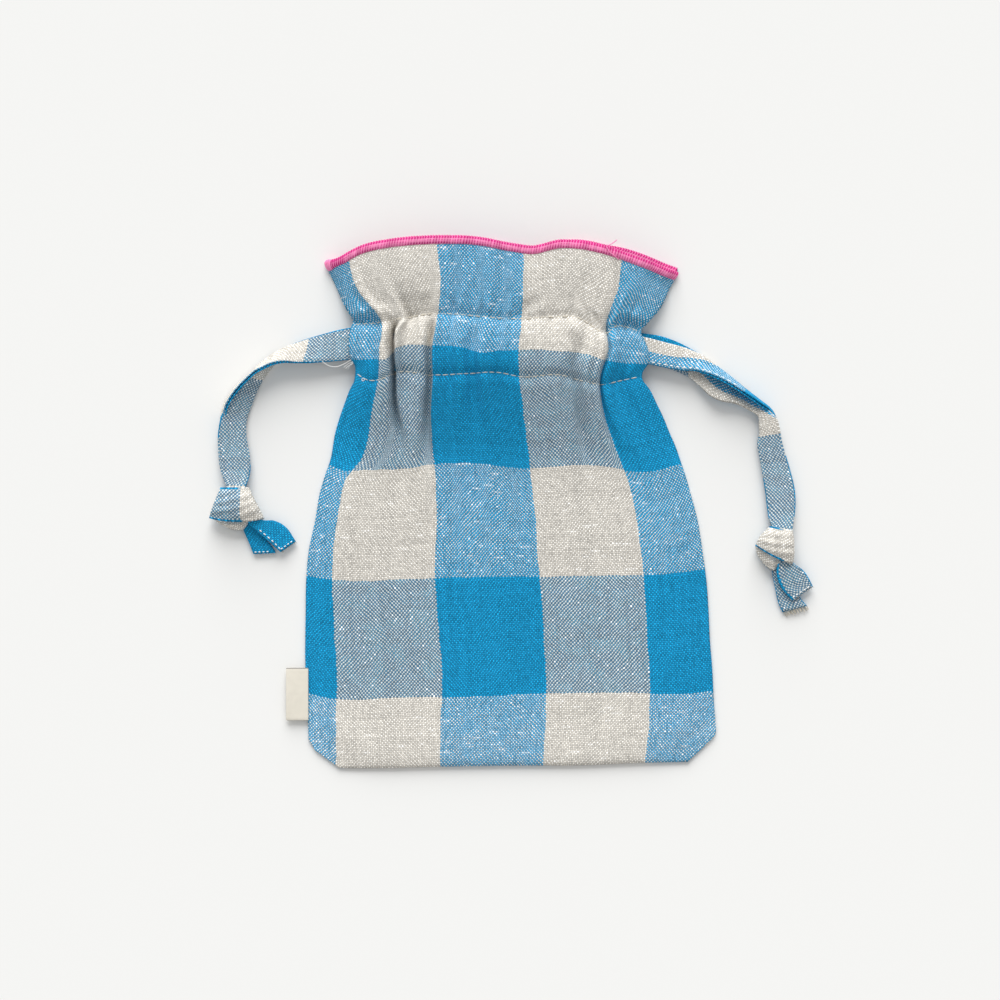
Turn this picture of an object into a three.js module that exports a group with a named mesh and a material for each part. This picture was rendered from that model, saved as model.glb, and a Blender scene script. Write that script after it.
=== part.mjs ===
// A drawstring pouch of checked linen, lying flat on its back: the mouth points to +Y and the front faces +Z.
// Millimetres. The origin is the middle of the back, on the surface that the pouch lies on.
import * as THREE from "three";

// Sizes of the sewn pouch
const bodyWidth = 174;
const bodyLength = 165; // bottom edge to the lower row of casing stitches
const casingHeight = 23.5; // between the two rows of casing stitches
const neckWidth = 123; // gathered width at the casing
const frillLength = 23; // upper row of stitches to the corners of the mouth
const mouthWidth = 150;
const mouthCrown = 9; // how much further the middle of the mouth reaches than its corners
const taperLength = 113; // the sides draw in over this length below the casing
const cornerCut = 12; // boxed corners show as cut corners while the pouch lies flat
const baseShift = 3; // the base lies this far to the right of the mouth

// Layers, from the surface up
const clothThickness = 0.8;
const stripThickness = 0.6;
const tapeThickness = 1.2; // a strip of linen folded to four layers
const seat = 0.3; // between pieces that are sewn to each other
const channelPlay = 0.35; // above and below the tape in its channel
const mouthGap = 4.6; // between the two casing strips
const bodyLoft = 4.6; // between front and back in the middle of the body
const frillLoft = 8.6; // between front and back at the mouth
const seamGap = 2; // between front and back along a seam

// Gathers of the front at the casing
const foldHeight = 2; // between the folds the cloth stands this far above the casing
const foldWidth = 0.055; // share of half the width
const foldReach = 62; // the folds die out over this length below the casing
const foldOpening = 14; // they open out over this length above it
// Where each fold lies, from -1 at the left seam to 1 at the right seam, and how deep it is
const folds = [
  [-0.75, 1],
  [-0.5, 0.85],
  [-0.17, 0.45],
  [0.18, 0.4],
  [0.52, 0.6],
  [0.71, 1],
];
const slitEase = 12; // the side slits close over this length beyond the casing
const baseEase = 25; // the front comes down to the bottom seam over this length

// Trimmings
const edgingWidth = 3.6;
const edgingThickness = 1.8;
const seamWidth = 6;
const lipWidth = 1.4; // edge of a casing strip that is stitched down
const labelReach = 8.8; // how far the folded label stands out of the seam
const labelLength = 22.3;
const labelLayer = 0.5;
const labelFromBase = 20;

// Drawstrings
const tapeWidth = 14;
const pullTravel = 15; // free travel before the tape's turn bears on the casing strips
const turnInset = 1; // between the turn of a tape and the side slit
const knotThickness = 9;
const knotSoftness = 2; // rounding of the knot's rim

// Places that follow from the sizes
const overallLength = bodyLength + casingHeight + frillLength + mouthCrown + seat + edgingWidth;
const baseY = -overallLength / 2;
const lowerRowY = baseY + bodyLength;
const upperRowY = lowerRowY + casingHeight;
const cornerY = upperRowY + frillLength;
const casingMiddleY = (lowerRowY + upperRowY) / 2;

const channelDepth = tapeThickness + 2 * channelPlay;
const casingGap = 2 * (channelDepth + stripThickness) + mouthGap;
const backTapeZ = clothThickness + channelDepth / 2;
const frontTapeZ = clothThickness + casingGap - channelDepth / 2;

// The turn of a tape lies just inside the side slit, and the casing strips leave room for its travel
const turnRadius = (frontTapeZ - backTapeZ) / 2;
const turnX = neckWidth / 2 - turnInset - turnRadius - tapeThickness / 2;
const stripLength = 2 * (turnX - pullTravel - seat);

// Two tapes are drawn together side by side in each channel
const channelRoom = casingHeight - 2 * (seat + lipWidth);
const bunchedWidth = (channelRoom - 3 * channelPlay) / 2;
const bunchedSpacing = bunchedWidth + channelPlay;

const { lerp, smoothstep } = THREE.MathUtils;

// Outline of the pouch as it lies
function middleX(y) {
  return (baseShift * Math.max(0, lowerRowY - y)) / bodyLength;
}

function halfWidth(y) {
  if (y < baseY + cornerCut) return bodyWidth / 2 - (baseY + cornerCut - y);
  if (y < lowerRowY) {
    const drawnIn = Math.max(0, (y - lowerRowY) / taperLength + 1);
    return bodyWidth / 2 - ((bodyWidth - neckWidth) / 2) * drawnIn ** 2;
  }
  return lerp(neckWidth, mouthWidth, Math.max(0, y - upperRowY) / frillLength) / 2;
}

function mouthY(across) {
  return cornerY + mouthCrown * (1 - across ** 2);
}

// Space between the back and the front, across from -1 at the left seam to 1 at the right seam
function gathers(across, y) {
  const below = smoothstep(y, lowerRowY - foldReach, lowerRowY);
  const towardsSeam = 1 - across ** 8;
  let puffed = 1;
  for (const [place, depth] of folds) puffed -= depth * Math.exp(-(((across - place) / foldWidth) ** 2));
  const opened = smoothstep(y, upperRowY, upperRowY + foldOpening);
  return foldHeight * lerp(Math.max(0, puffed), 0.8, 0.7 * opened) * below * towardsSeam;
}

function loft(across, y) {
  const inCasing = smoothstep(y, lowerRowY - foldReach, lowerRowY);
  const body = lerp(seamGap, bodyLoft, Math.sin((Math.PI / 2) * Math.min(1, (y - baseY) / baseEase)));
  const frill = Math.max(0, y - upperRowY) / (frillLength + mouthCrown);
  const middle = lerp(lerp(body, casingGap, inCasing), frillLoft, frill);
  const slit =
    smoothstep(y, lowerRowY - slitEase, lowerRowY) * (1 - smoothstep(y, upperRowY, upperRowY + slitEase));
  const atSeam = lerp(seamGap, casingGap, slit);
  return lerp(middle, atSeam, across ** 6) + gathers(across, y);
}

// A closed sheet: a box of cells whose points are put in place one by one.
// across runs from -1 to 1, along and up from 0 to 1.
function bentSheet(cellsAcross, cellsAlong, place) {
  const sheet = new THREE.BoxGeometry(2, 1, 1, cellsAcross, cellsAlong, 1);
  const points = sheet.attributes.position;
  for (let i = 0; i < points.count; i++) {
    const put = place(points.getX(i), points.getY(i) + 0.5, points.getZ(i) + 0.5);
    points.setXYZ(i, put.x, put.y, put.z);
  }
  sheet.computeVertexNormals();
  return sheet;
}

// A profile drawn in the plane of Y and Z, pushed along X from fromX
function pushedAlongX(profile, fromX, length) {
  const pushed = new THREE.ExtrudeGeometry(profile, { depth: length, bevelEnabled: false });
  const x = new THREE.Vector3(1, 0, 0);
  const y = new THREE.Vector3(0, 1, 0);
  const z = new THREE.Vector3(0, 0, 1);
  pushed.applyMatrix4(new THREE.Matrix4().makeBasis(y, z, x));
  return pushed.translate(fromX, 0, 0);
}

function polygon(corners) {
  return new THREE.Shape(corners.map(([x, y]) => new THREE.Vector2(x, y)));
}

function rectangle(x0, y0, x1, y1) {
  return polygon([
    [x0, y0],
    [x1, y0],
    [x1, y1],
    [x0, y1],
  ]);
}

const linen = new THREE.MeshStandardMaterial({ color: 0x8db3c9, roughness: 0.9, metalness: 0 });
const naturalLinen = new THREE.MeshStandardMaterial({ color: 0xd2cfc6, roughness: 0.9, metalness: 0 });
const tapeLinen = new THREE.MeshStandardMaterial({ color: 0x8ca4b0, roughness: 0.9, metalness: 0 });
const pinkThread = new THREE.MeshStandardMaterial({ color: 0xd95a9e, roughness: 0.6, metalness: 0 });
const labelCotton = new THREE.MeshStandardMaterial({ color: 0xe3ddcd, roughness: 0.85, metalness: 0 });

const pouch = new THREE.Group();

function add(name, geometry, material, parent = pouch) {
  const mesh = new THREE.Mesh(geometry, material);
  mesh.name = name;
  parent.add(mesh);
  return mesh;
}

// Back and front of the pouch. The front is parted at the upper row of stitches, where the frill folds.
function clothPlace(yAt, liftAt) {
  return (across, along, up) => {
    const y = yAt(across, along);
    const x = middleX(y) + across * halfWidth(y);
    return new THREE.Vector3(x, y, liftAt(across, y) + up * clothThickness);
  };
}

const liesFlat = () => 0;
const standsOff = (across, y) => clothThickness + loft(across, y);

// Rows of cells: one for the cut corners, then even rows up to the casing and across it
const bodyRows = 16;
const casingRows = 2;
function frontRowY(along) {
  const row = along * (1 + bodyRows + casingRows);
  if (row <= 1) return lerp(baseY, baseY + cornerCut, row);
  if (row <= 1 + bodyRows) return lerp(baseY + cornerCut, lowerRowY, (row - 1) / bodyRows);
  return lerp(lowerRowY, upperRowY, (row - 1 - bodyRows) / casingRows);
}

const frillRows = 4;
const frontRows = 1 + bodyRows + casingRows;
function backRowY(across, along) {
  const row = along * (frontRows + frillRows);
  if (row <= frontRows) return frontRowY(row / frontRows);
  return lerp(upperRowY, mouthY(across), (row - frontRows) / frillRows);
}

const backColumns = 10;
const frontColumns = 48;
add("back_panel", bentSheet(backColumns, frontRows + frillRows, clothPlace(backRowY, liesFlat)), linen);
const frontY = (across, along) => frontRowY(along);
add("front_panel", bentSheet(frontColumns, frontRows, clothPlace(frontY, standsOff)), linen);
const frillY = (across, along) => lerp(upperRowY + seat, mouthY(across), along);
add("front_frill", bentSheet(frontColumns, frillRows, clothPlace(frillY, standsOff)), linen);

// Overlocked edging along the mouth, a bead of thread beyond the raw edge of each side
function edging(liftAt) {
  const half = edgingThickness / 2;
  const bead = new THREE.Path().absellipse(0, 0, edgingWidth / 2, half, 0, 2 * Math.PI).getPoints(8);
  const sides = bead.length - 1;
  const ring = new THREE.CylinderGeometry(1, 1, 1, sides, frontColumns);
  const points = ring.attributes.position;
  for (let i = 0; i < points.count; i++) {
    const across = 2 * points.getY(i);
    const angle = Math.atan2(points.getZ(i), points.getX(i));
    const radius = Math.hypot(points.getX(i), points.getZ(i));
    const edge = mouthY(across);
    const x = middleX(edge) + across * halfWidth(edge);
    const y = edge + seat + (edgingWidth / 2) * (1 + radius * Math.sin(angle));
    const z = liftAt(across, edge) + clothThickness / 2 + half * radius * Math.cos(angle);
    points.setXYZ(i, x, y, z);
  }
  ring.computeVertexNormals();
  return ring;
}

add("back_mouth_edging", edging(() => edgingThickness / 2 - clothThickness / 2), pinkThread);
add("front_mouth_edging", edging(standsOff), pinkThread);

// Casing strips inside the pouch: each is stitched down along its two lips and stands off between them
function casingStrip(inward, clothZ) {
  const lipZ = clothZ + inward * seat;
  const standZ = clothZ + inward * channelDepth;
  const t = inward * stripThickness;
  const [low, high] = [lowerRowY + seat, upperRowY - seat];
  return polygon([
    [low, lipZ],
    [low + lipWidth, lipZ],
    [low + lipWidth, standZ],
    [high - lipWidth, standZ],
    [high - lipWidth, lipZ],
    [high, lipZ],
    [high, standZ + t],
    [low, standZ + t],
  ]);
}

add("back_casing_strip", pushedAlongX(casingStrip(1, clothThickness), -stripLength / 2, stripLength), naturalLinen);
const frontClothZ = clothThickness + casingGap;
add("front_casing_strip", pushedAlongX(casingStrip(-1, frontClothZ), -stripLength / 2, stripLength), naturalLinen);

// Seam allowances between the back and the front
const seamZ = clothThickness + seat;
const seamThickness = seamGap - 2 * seat;
const sideSeamStart = baseY + cornerCut + seamWidth;
const sideSeamEnd = lowerRowY - slitEase - seat;

function sideSeam(side, fromY, toY, cells) {
  return bentSheet(1, cells, (across, along, up) => {
    const y = lerp(fromY, toY, along);
    const inwards = seat + (seamWidth * (1 - side * across)) / 2;
    const x = middleX(y) + side * (halfWidth(y) - inwards);
    return new THREE.Vector3(x, y, seamZ + up * seamThickness);
  });
}

for (const [name, side] of [
  ["left", -1],
  ["right", 1],
]) {
  add(`${name}_side_seam`, sideSeam(side, sideSeamStart, sideSeamEnd, 12), linen);
  add(`${name}_frill_seam`, sideSeam(side, upperRowY + slitEase + seat, cornerY, 3), linen);

  const cornerLength = Math.SQRT2 * cornerCut;
  const corner = add(`${name}_corner_seam`, new THREE.BoxGeometry(cornerLength, seamWidth, seamThickness), linen);
  const inwards = (seat + seamWidth / 2) / Math.SQRT2;
  const cutMiddle = (bodyWidth - cornerCut) / 2 - inwards;
  corner.position.set(
    middleX(baseY) + side * cutMiddle,
    baseY + cornerCut / 2 + inwards,
    seamZ + seamThickness / 2,
  );
  corner.rotation.z = (side * Math.PI) / 4;
}

const bottomLength = bodyWidth - 2 * (cornerCut + seamWidth);
const bottom = add("bottom_seam", new THREE.BoxGeometry(bottomLength, seamWidth, seamThickness), linen);
bottom.position.set(middleX(baseY), baseY + seat + seamWidth / 2, seamZ + seamThickness / 2);

// Folded label in the left side seam: two layers and the fold between them
const labelThickness = 2 * labelLayer + seat;
const labelTopZ = seamZ + seamThickness;
const labelY = baseY + labelFromBase;
const labelRootX = middleX(labelY + labelLength) - bodyWidth / 2 - seat;

function label() {
  const foldRadius = labelThickness / 2;
  const foldX = foldRadius - labelReach;
  const profile = new THREE.Shape();
  profile.moveTo(0, -labelThickness);
  profile.lineTo(0, -labelThickness + labelLayer);
  profile.absarc(foldX, -foldRadius, foldRadius - labelLayer, 1.5 * Math.PI, 0.5 * Math.PI, true);
  profile.lineTo(0, -labelLayer);
  profile.lineTo(0, 0);
  profile.absarc(foldX, -foldRadius, foldRadius, 0.5 * Math.PI, 1.5 * Math.PI, false);
  const options = { depth: labelLength, bevelEnabled: false, curveSegments: 6 };
  return new THREE.ExtrudeGeometry(profile, options).rotateX(Math.PI / 2).translate(0, labelLength, 0);
}

add("side_label", label(), labelCotton).position.set(labelRootX, labelY, labelTopZ);

// Drawstrings. Each is one loop of tape: in at its own side, through the front channel, round the far side,
// back through the back channel and out again, with its two ends knotted together.
// A free stretch of tape lies flat along its curve
function flatTape(curve, width, cells) {
  return bentSheet(1, cells, (across, along, up) => {
    const middle = curve.getPointAt(along);
    const ahead = curve.getTangentAt(along);
    const sideways = new THREE.Vector3(ahead.y, -ahead.x, 0).normalize();
    const above = new THREE.Vector3().crossVectors(sideways, ahead).normalize();
    return middle.addScaledVector(sideways, (across * width) / 2).addScaledVector(above, (up - 0.5) * tapeThickness);
  });
}

function through(points) {
  return new THREE.CatmullRomCurve3(points.map(([x, y, z]) => new THREE.Vector3(x, y, z)));
}

// Route of the free tapes from the side slit to the knot. Points are chosen by hand: how far out from the
// side slit, and how far up from the middle of the casing.
const leftRoute = [
  [1, 1.5],
  [8.5, 1.5],
  [16.5, 0.8],
  [24, -0.9],
  [30.9, -3.8],
  [37.2, -7.9],
  [42.9, -12.9],
  [47.4, -18.8],
  [50.5, -25.2],
  [52.3, -31.9],
  [52.8, -38.7],
  [52.4, -45.3],
  [51.6, -51.7],
  [50.8, -57.6],
];
const rightRoute = [
  [1, -4],
  [8.5, -4],
  [15.5, -6.2],
  [22.5, -9.8],
  [29.1, -14.1],
  [35.5, -18.5],
  [41.5, -22.9],
  [46.7, -27.7],
  [50.3, -33],
  [52.5, -39],
  [54.1, -45.5],
  [55.5, -52],
  [56.3, -58.5],
  [56.3, -65],
  [55.5, -71.1],
  [54.3, -76.5],
];

const restingZ = 0.2 + tapeThickness / 2; // a tape that lies on the surface
const stackedZ = restingZ + tapeThickness + channelPlay; // a tape that lies on another one
const leavesSlit = 1; // the point of the route where a tape starts to come down
const liesDown = 4; // and the point where it lies down

function freeRoute(side, route, exitZ, lyingZ) {
  return through(
    route.map(([out, up], i) => [
      side * (neckWidth / 2 + out),
      casingMiddleY + up,
      lerp(exitZ, lyingZ, smoothstep(i, leavesSlit, liesDown)),
    ]),
  );
}

function innerTape(y, z, fromX, toX) {
  const [halfWide, halfThick] = [bunchedWidth / 2, tapeThickness / 2];
  const section = rectangle(y - halfWide, z - halfThick, y + halfWide, z + halfThick);
  return pushedAlongX(section, Math.min(fromX, toX), Math.abs(toX - fromX));
}

function turn(side) {
  const ring = new THREE.Shape();
  ring.absarc(0, 0, turnRadius + tapeThickness / 2, -Math.PI / 2, Math.PI / 2, false);
  ring.absarc(0, 0, turnRadius - tapeThickness / 2, Math.PI / 2, -Math.PI / 2, true);
  const options = { depth: bunchedWidth, bevelEnabled: false, curveSegments: 10 };
  const band = new THREE.ExtrudeGeometry(ring, options).translate(0, 0, -bunchedWidth / 2).rotateX(Math.PI / 2);
  return side > 0 ? band : band.rotateZ(Math.PI);
}

function knot(topWidth, bottomWidth, length) {
  const [top, foot, half] = [topWidth / 2 - knotSoftness, bottomWidth / 2 - knotSoftness, length / 2 - knotSoftness];
  const outline = polygon([
    [-foot, -half],
    [foot, -half],
    [top, half],
    [-top, half],
  ]);
  const options = {
    depth: knotThickness - 2 * knotSoftness,
    bevelThickness: knotSoftness,
    bevelSize: knotSoftness,
    bevelSegments: 3,
  };
  return new THREE.ExtrudeGeometry(outline, options).translate(0, 0, knotSoftness);
}

// side: the side that the ends come out of; row: 1 for the upper half of the channel, -1 for the lower half
function drawstring(name, side, row, route, knotted) {
  const y = casingMiddleY + (row * bunchedSpacing) / 2;
  const innerEndX = neckWidth / 2 + route[0][0] - seat;
  const inside = (z) => innerTape(y, z, side * innerEndX, -side * (turnX - seat));
  add(`${name}_front_inner_tape`, inside(frontTapeZ), tapeLinen);
  add(`${name}_back_inner_tape`, inside(backTapeZ), tapeLinen);
  const middleZ = (frontTapeZ + backTapeZ) / 2;
  add(`${name}_tape_turn`, turn(-side), tapeLinen).position.set(-side * turnX, y, middleZ);

  const cells = 2 * route.length;
  const front = freeRoute(side, route, frontTapeZ, stackedZ);
  const back = freeRoute(side, route, backTapeZ, restingZ);
  add(`${name}_front_free_tape`, flatTape(front, tapeWidth, cells), tapeLinen);
  add(`${name}_back_free_tape`, flatTape(back, tapeWidth, cells), tapeLinen);

  // The knot sits on the ends of the two free tapes, and its tails leave its far side
  const { topWidth, bottomWidth, length, tails } = knotted;
  const end = back.getPoint(1);
  const heading = back.getTangent(1);
  const tied = new THREE.Group();
  tied.position.set(end.x, end.y, 0);
  tied.rotation.z = Math.atan2(heading.x, -heading.y);
  pouch.add(tied);
  add(`${name}_knot`, knot(topWidth, bottomWidth, length), tapeLinen, tied).position.y = -seat - length / 2;
  for (const [tail, points] of Object.entries(tails)) {
    const flat = flatTape(through(points), tapeWidth, 6);
    add(`${name}_${tail}_tail`, flat, tapeLinen, tied).position.y = -2 * seat - length;
  }
}

// The points of a tail start from the middle of the knot's far side
const leftKnot = {
  topWidth: 17,
  bottomWidth: 24,
  length: 14.5,
  tails: {
    front: [
      [4.5, 0, 4.6],
      [4.5, -3, 4.6],
      [7.5, -8, 3.8],
      [13, -12.5, 2.9],
    ],
    back: [
      [0, 0, 2],
      [0, -3, 2],
      [1.5, -9, 1.3],
      [5, -15, 0.9],
    ],
  },
};
const rightKnot = {
  topWidth: 18,
  bottomWidth: 15,
  length: 15,
  tails: {
    front: [
      [0.5, 0, 4.6],
      [0.5, -3, 4.6],
      [3.5, -8.5, 3.8],
      [8.5, -13.5, 2.9],
    ],
    back: [
      [-0.5, 0, 2],
      [-0.5, -3, 2],
      [1.5, -10, 1.3],
      [5.5, -17.5, 0.9],
    ],
  },
};

drawstring("left", -1, 1, leftRoute, leftKnot);
drawstring("right", 1, -1, rightRoute, rightKnot);

export default pouch;
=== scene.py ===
import math
import random

import bmesh
import bpy
import numpy as np
from mathutils import Matrix, Vector, noise


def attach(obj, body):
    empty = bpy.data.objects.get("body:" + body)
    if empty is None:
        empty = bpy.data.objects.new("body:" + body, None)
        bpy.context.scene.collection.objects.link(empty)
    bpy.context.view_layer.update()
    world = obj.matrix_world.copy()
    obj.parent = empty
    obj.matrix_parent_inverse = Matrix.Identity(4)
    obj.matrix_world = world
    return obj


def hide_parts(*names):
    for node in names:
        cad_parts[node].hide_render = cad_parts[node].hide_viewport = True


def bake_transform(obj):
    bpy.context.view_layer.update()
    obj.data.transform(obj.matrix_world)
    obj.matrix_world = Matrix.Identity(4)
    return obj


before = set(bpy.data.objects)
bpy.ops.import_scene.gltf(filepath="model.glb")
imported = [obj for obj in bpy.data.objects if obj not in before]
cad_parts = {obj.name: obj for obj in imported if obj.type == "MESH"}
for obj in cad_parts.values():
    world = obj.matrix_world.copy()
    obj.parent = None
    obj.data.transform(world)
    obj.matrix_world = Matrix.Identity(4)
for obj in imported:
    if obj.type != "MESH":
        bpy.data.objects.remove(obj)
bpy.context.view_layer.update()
scene = bpy.context.scene
mm = 0.001
print("frame loaded")


# Small helpers. Shapes are worked out in millimetres.

def ease(x, low, high):
    t = np.clip((np.asarray(x, float) - low) / (high - low), 0, 1)
    return t * t * (3 - 2 * t)


def between(x, rises, falls):  # up from 0 to 1 over one stretch and down again over the other
    return ease(x, *rises) * (1 - ease(x, *falls))


def bell(x, width):
    return np.exp(-(x / width) ** 2)


def mix(a, b, share):
    return a + (b - a) * share


def throughPoints(at, places, values):  # smooth curve through a few places
    places = np.asarray(places, float)
    values = np.asarray(values, float)
    slopes = np.gradient(values, places)
    at = np.clip(at, places[0], places[-1])
    i = np.clip(np.searchsorted(places, at) - 1, 0, len(places) - 2)
    step = places[i + 1] - places[i]
    t = (at - places[i]) / step
    fromLeft = (1 + 2 * t) * (1 - t) ** 2 * values[i] + t * (1 - t) ** 2 * step * slopes[i]
    fromRight = t * t * (3 - 2 * t) * values[i + 1] + t * t * (t - 1) * step * slopes[i + 1]
    return fromLeft + fromRight


def throughTable(at, places, table):  # the same for each column of a table
    return np.stack([throughPoints(at, places, column) for column in np.transpose(table)], 1)


def alongLine(at, places, points):  # straight from point to point
    return np.array([np.interp(at, places, column) for column in np.transpose(points)])


def unit(vectors):
    return vectors / np.maximum(np.linalg.norm(vectors, axis=-1, keepdims=True), 1e-9)


def lengthAlong(points):
    return np.concatenate([[0], np.cumsum(np.linalg.norm(np.diff(points, axis=0), axis=1))])


def ripple(x, y, size, seed):  # even noise from -1 to 1 with features of one size
    a, b = np.broadcast_arrays(np.asarray(x, float) / size, np.asarray(y, float) / size)
    found = [noise.noise((p, q, seed)) for p, q in zip(a.ravel(), b.ravel())]
    return np.reshape(found, a.shape)


def newPiece(name, bm, material):
    mesh = bpy.data.meshes.new(name)
    bm.to_mesh(mesh)
    bm.free()
    mesh.shade_smooth()
    piece = bpy.data.objects.new(name, mesh)
    scene.collection.objects.link(piece)
    mesh.materials.append(material)
    return piece


def closeTubes(bm):
    bmesh.ops.remove_doubles(bm, verts=bm.verts, dist=0.005 * mm)
    bmesh.ops.holes_fill(bm, edges=[e for e in bm.edges if e.is_boundary])
    bmesh.ops.recalc_face_normals(bm, faces=bm.faces)


# A grid of cells put in place point by point. places is rows x columns x 3, and clothMap says where each
# point is on the flat cloth. A tube comes back to its first column, and its ends are closed.
def gridPiece(name, places, clothMap, material, tube=False):
    rows, columns = places.shape[0] - 1, places.shape[1] - 1
    bm = bmesh.new()
    bmesh.ops.create_grid(bm, x_segments=columns, y_segments=rows, size=0.5)
    cell = {v: (round((v.co.y + 0.5) * rows), round((v.co.x + 0.5) * columns)) for v in bm.verts}
    layer = bm.loops.layers.uv.new("clothMap")
    for face in bm.faces:
        for loop in face.loops:
            loop[layer].uv = clothMap[cell[loop.vert]] * mm
    for v in bm.verts:
        v.co = Vector(places[cell[v]] * mm)
    if tube:
        closeTubes(bm)
    return newPiece(name, bm, material)


def thicken(piece, thickness, offset=-1):
    solid = piece.modifiers.new("cloth", "SOLIDIFY")
    solid.thickness = thickness * mm
    solid.offset = offset
    solid.use_even_offset = False


def dress(piece, body, slot, *nodes):
    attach(piece, body)
    if nodes:
        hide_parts(*nodes)


# Materials. A value worked out by a material's nodes takes part in sums as a number does.

class nodeValue:
    def __init__(self, nodes, socket):
        self.nodes = nodes
        self.socket = socket

    def calc(self, operation, *others):
        return self.nodes.calc(operation, self, *others)

    def __rsub__(self, other):
        return self.nodes.calc("SUBTRACT", other, self)


sums = {"add": "ADD", "sub": "SUBTRACT", "mul": "MULTIPLY", "truediv": "DIVIDE", "mod": "FLOORED_MODULO",
        "pow": "POWER", "lt": "LESS_THAN", "gt": "GREATER_THAN", "abs": "ABSOLUTE"}
for sign, operation in sums.items():
    setattr(nodeValue, f"__{sign}__", lambda self, *others, kind=operation: self.calc(kind, *others))


class materialNodes:
    def __init__(self, name):
        self.material = bpy.data.materials.new(name)
        self.material.use_nodes = True
        self.tree = self.material.node_tree

    def put(self, value, socket):
        if isinstance(value, nodeValue):
            self.tree.links.new(value.socket, socket)
        else:
            socket.default_value = value

    def node(self, kind, output, inputs, **settings):
        made = self.tree.nodes.new("ShaderNode" + kind)
        for name, setting in settings.items():
            setattr(made, name, setting)
        for key, value in inputs.items():
            self.put(value, made.inputs[key])
        return nodeValue(self, made.outputs[output])

    def calc(self, operation, *numbers):
        return self.node("Math", 0, dict(enumerate(numbers)), operation=operation)

    def vector(self, *parts):
        return self.node("CombineXYZ", 0, dict(enumerate(parts)))

    def noise(self, place, scale=1.0, detail=2.0):
        return self.node("TexNoise", "Fac", {"Vector": place, "Scale": scale, "Detail": detail})

    def grain(self, *place):  # one random value for each whole place
        return self.node("TexWhiteNoise", "Value", {"Vector": self.vector(*place)})

    def remap(self, value, fromRange, toLow, toHigh):
        return self.node("MapRange", 0, dict(enumerate((value, *fromRange, toLow, toHigh))))

    def blend(self, share, a, b, kind="MIX"):
        return self.node("Mix", 2, {0: share, 6: a, 7: b}, data_type="RGBA", blend_type=kind)

    def shade(self, colour, level):
        return self.blend(1.0, colour, self.vector(level, level, level), "MULTIPLY")

    def onCloth(self):  # place on the flat cloth, in millimetres
        place = self.node("UVMap", 0, {}, uv_map="clothMap")
        return [self.node("SeparateXYZ", k, {0: place}) / mm for k in range(2)]

    def inSpace(self):
        return self.node("TexCoord", "Object", {})

    def bump(self, height, strength, distance):
        return self.node("Bump", 0, {"Height": height, "Strength": strength, "Distance": distance * mm})

    def setShader(self, sockets):
        shader = self.tree.nodes["Principled BSDF"]
        for name, value in sockets.items():
            self.put(value, shader.inputs[name])
        return self.material

    def finish(self, colour, height, look):
        normal = self.bump(height, *look["bump"])
        return self.setShader({"Base Color": colour, "Normal": normal, **look["finish"]})


linen = {
    "warpBlue": (0.005, 0.315, 0.590, 1),
    "weftBlue": (0.006, 0.188, 0.388, 1),
    "warpNatural": (0.545, 0.510, 0.450, 1),
    "weftNatural": (0.700, 0.680, 0.635, 1),
    "onBlue": (0.36, 0.60, 0.75, 1),
    "paleBlue": (0.02, 0.37, 0.62, 1),
    "fleck": (0.95, 0.95, 0.93, 1),
    "warpPitch": 0.72,
    "weftPitch": 0.78,
    "warpStart": 58.0,      # first blue stripe that lies whole on the front
    "warpPeriod": 87.4,
    "warpStripe": 44.5,
    "weftStart": 30.7,
    "weftPeriod": 96.4,
    "weftStripe": 48.6,
    # places across the cloth for the faces of tapes and knots
    "stripeFaces": {"natural": (43.5, 57.4), "plain": 50.0, "edge": 62.0, "under": 68.0},
    # how the yarns wander, and how each crossing leans: scale and detail of the noise, and how far
    "slowWander": (0.12, 2.0, 1.1),
    "quickWander": (0.45, 0.0, 0.5),
    "lean": (0.035, 0.0, 1.5),
    "patches": {"scale": 0.15, "from": (0.46, 0.66), "paler": 0.55},
    "streaks": {"across": 1.1, "along": 0.16, "from": (0.52, 0.62)},
    "base": (10.0, 42.0),       # painted light: the cloth is drawn a little brighter towards its base
    # share of the yarn below that shows. A blue warp shows through a natural weft at the yarn's sides, and
    # less on its back: from none at the base up to a share at the mouth, and more in patches and streaks
    "through": {"warp": 0.38, "sides": 0.85, "mouth": (190.0, 0.28), "patches": 0.46, "streaks": 0.55,
                # near the base more natural shows through blue: painted light
                "back": (0.10, 0.60), "blue": 0.02, "blueWeft": 0.12, "paintedLightOnBlue": 0.12},
    # what is added to the brightness; the part at the base is painted light
    "brighter": {"blueWarp": -0.16, "blueStreaks": -0.26, "blueWeft": -0.29, "naturalWarp": -0.105,
                 "naturalWeft": 0.19, "base": 0.11},
    "slubs": {"along": 0.09, "between": 7.7, "thick": 0.67},
    # the last of these is a painted sheen: a little white on the tops of the yarns
    "flecks": {"weft": 0.6, "warp": 0.4, "rare": 0.982, "share": 0.5, "paintedSheenOnBulge": 0.012},
    "shades": {"yarn": 0.20, "slub": 0.44, "crossing": 0.36, "level": 0.60, "weft": -0.10},
    # painted shade: each yarn is darker at its sides, where it dips between the crossings
    "roundness": {"back": 0.80, "sides": 0.62},
    "bump": (0.35, 0.18),       # strength, and height in millimetres
    "finish": {"Roughness": 0.9, "Specular IOR Level": 0.06, "Sheen Weight": 0.03, "Sheen Roughness": 0.5},
}


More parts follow.
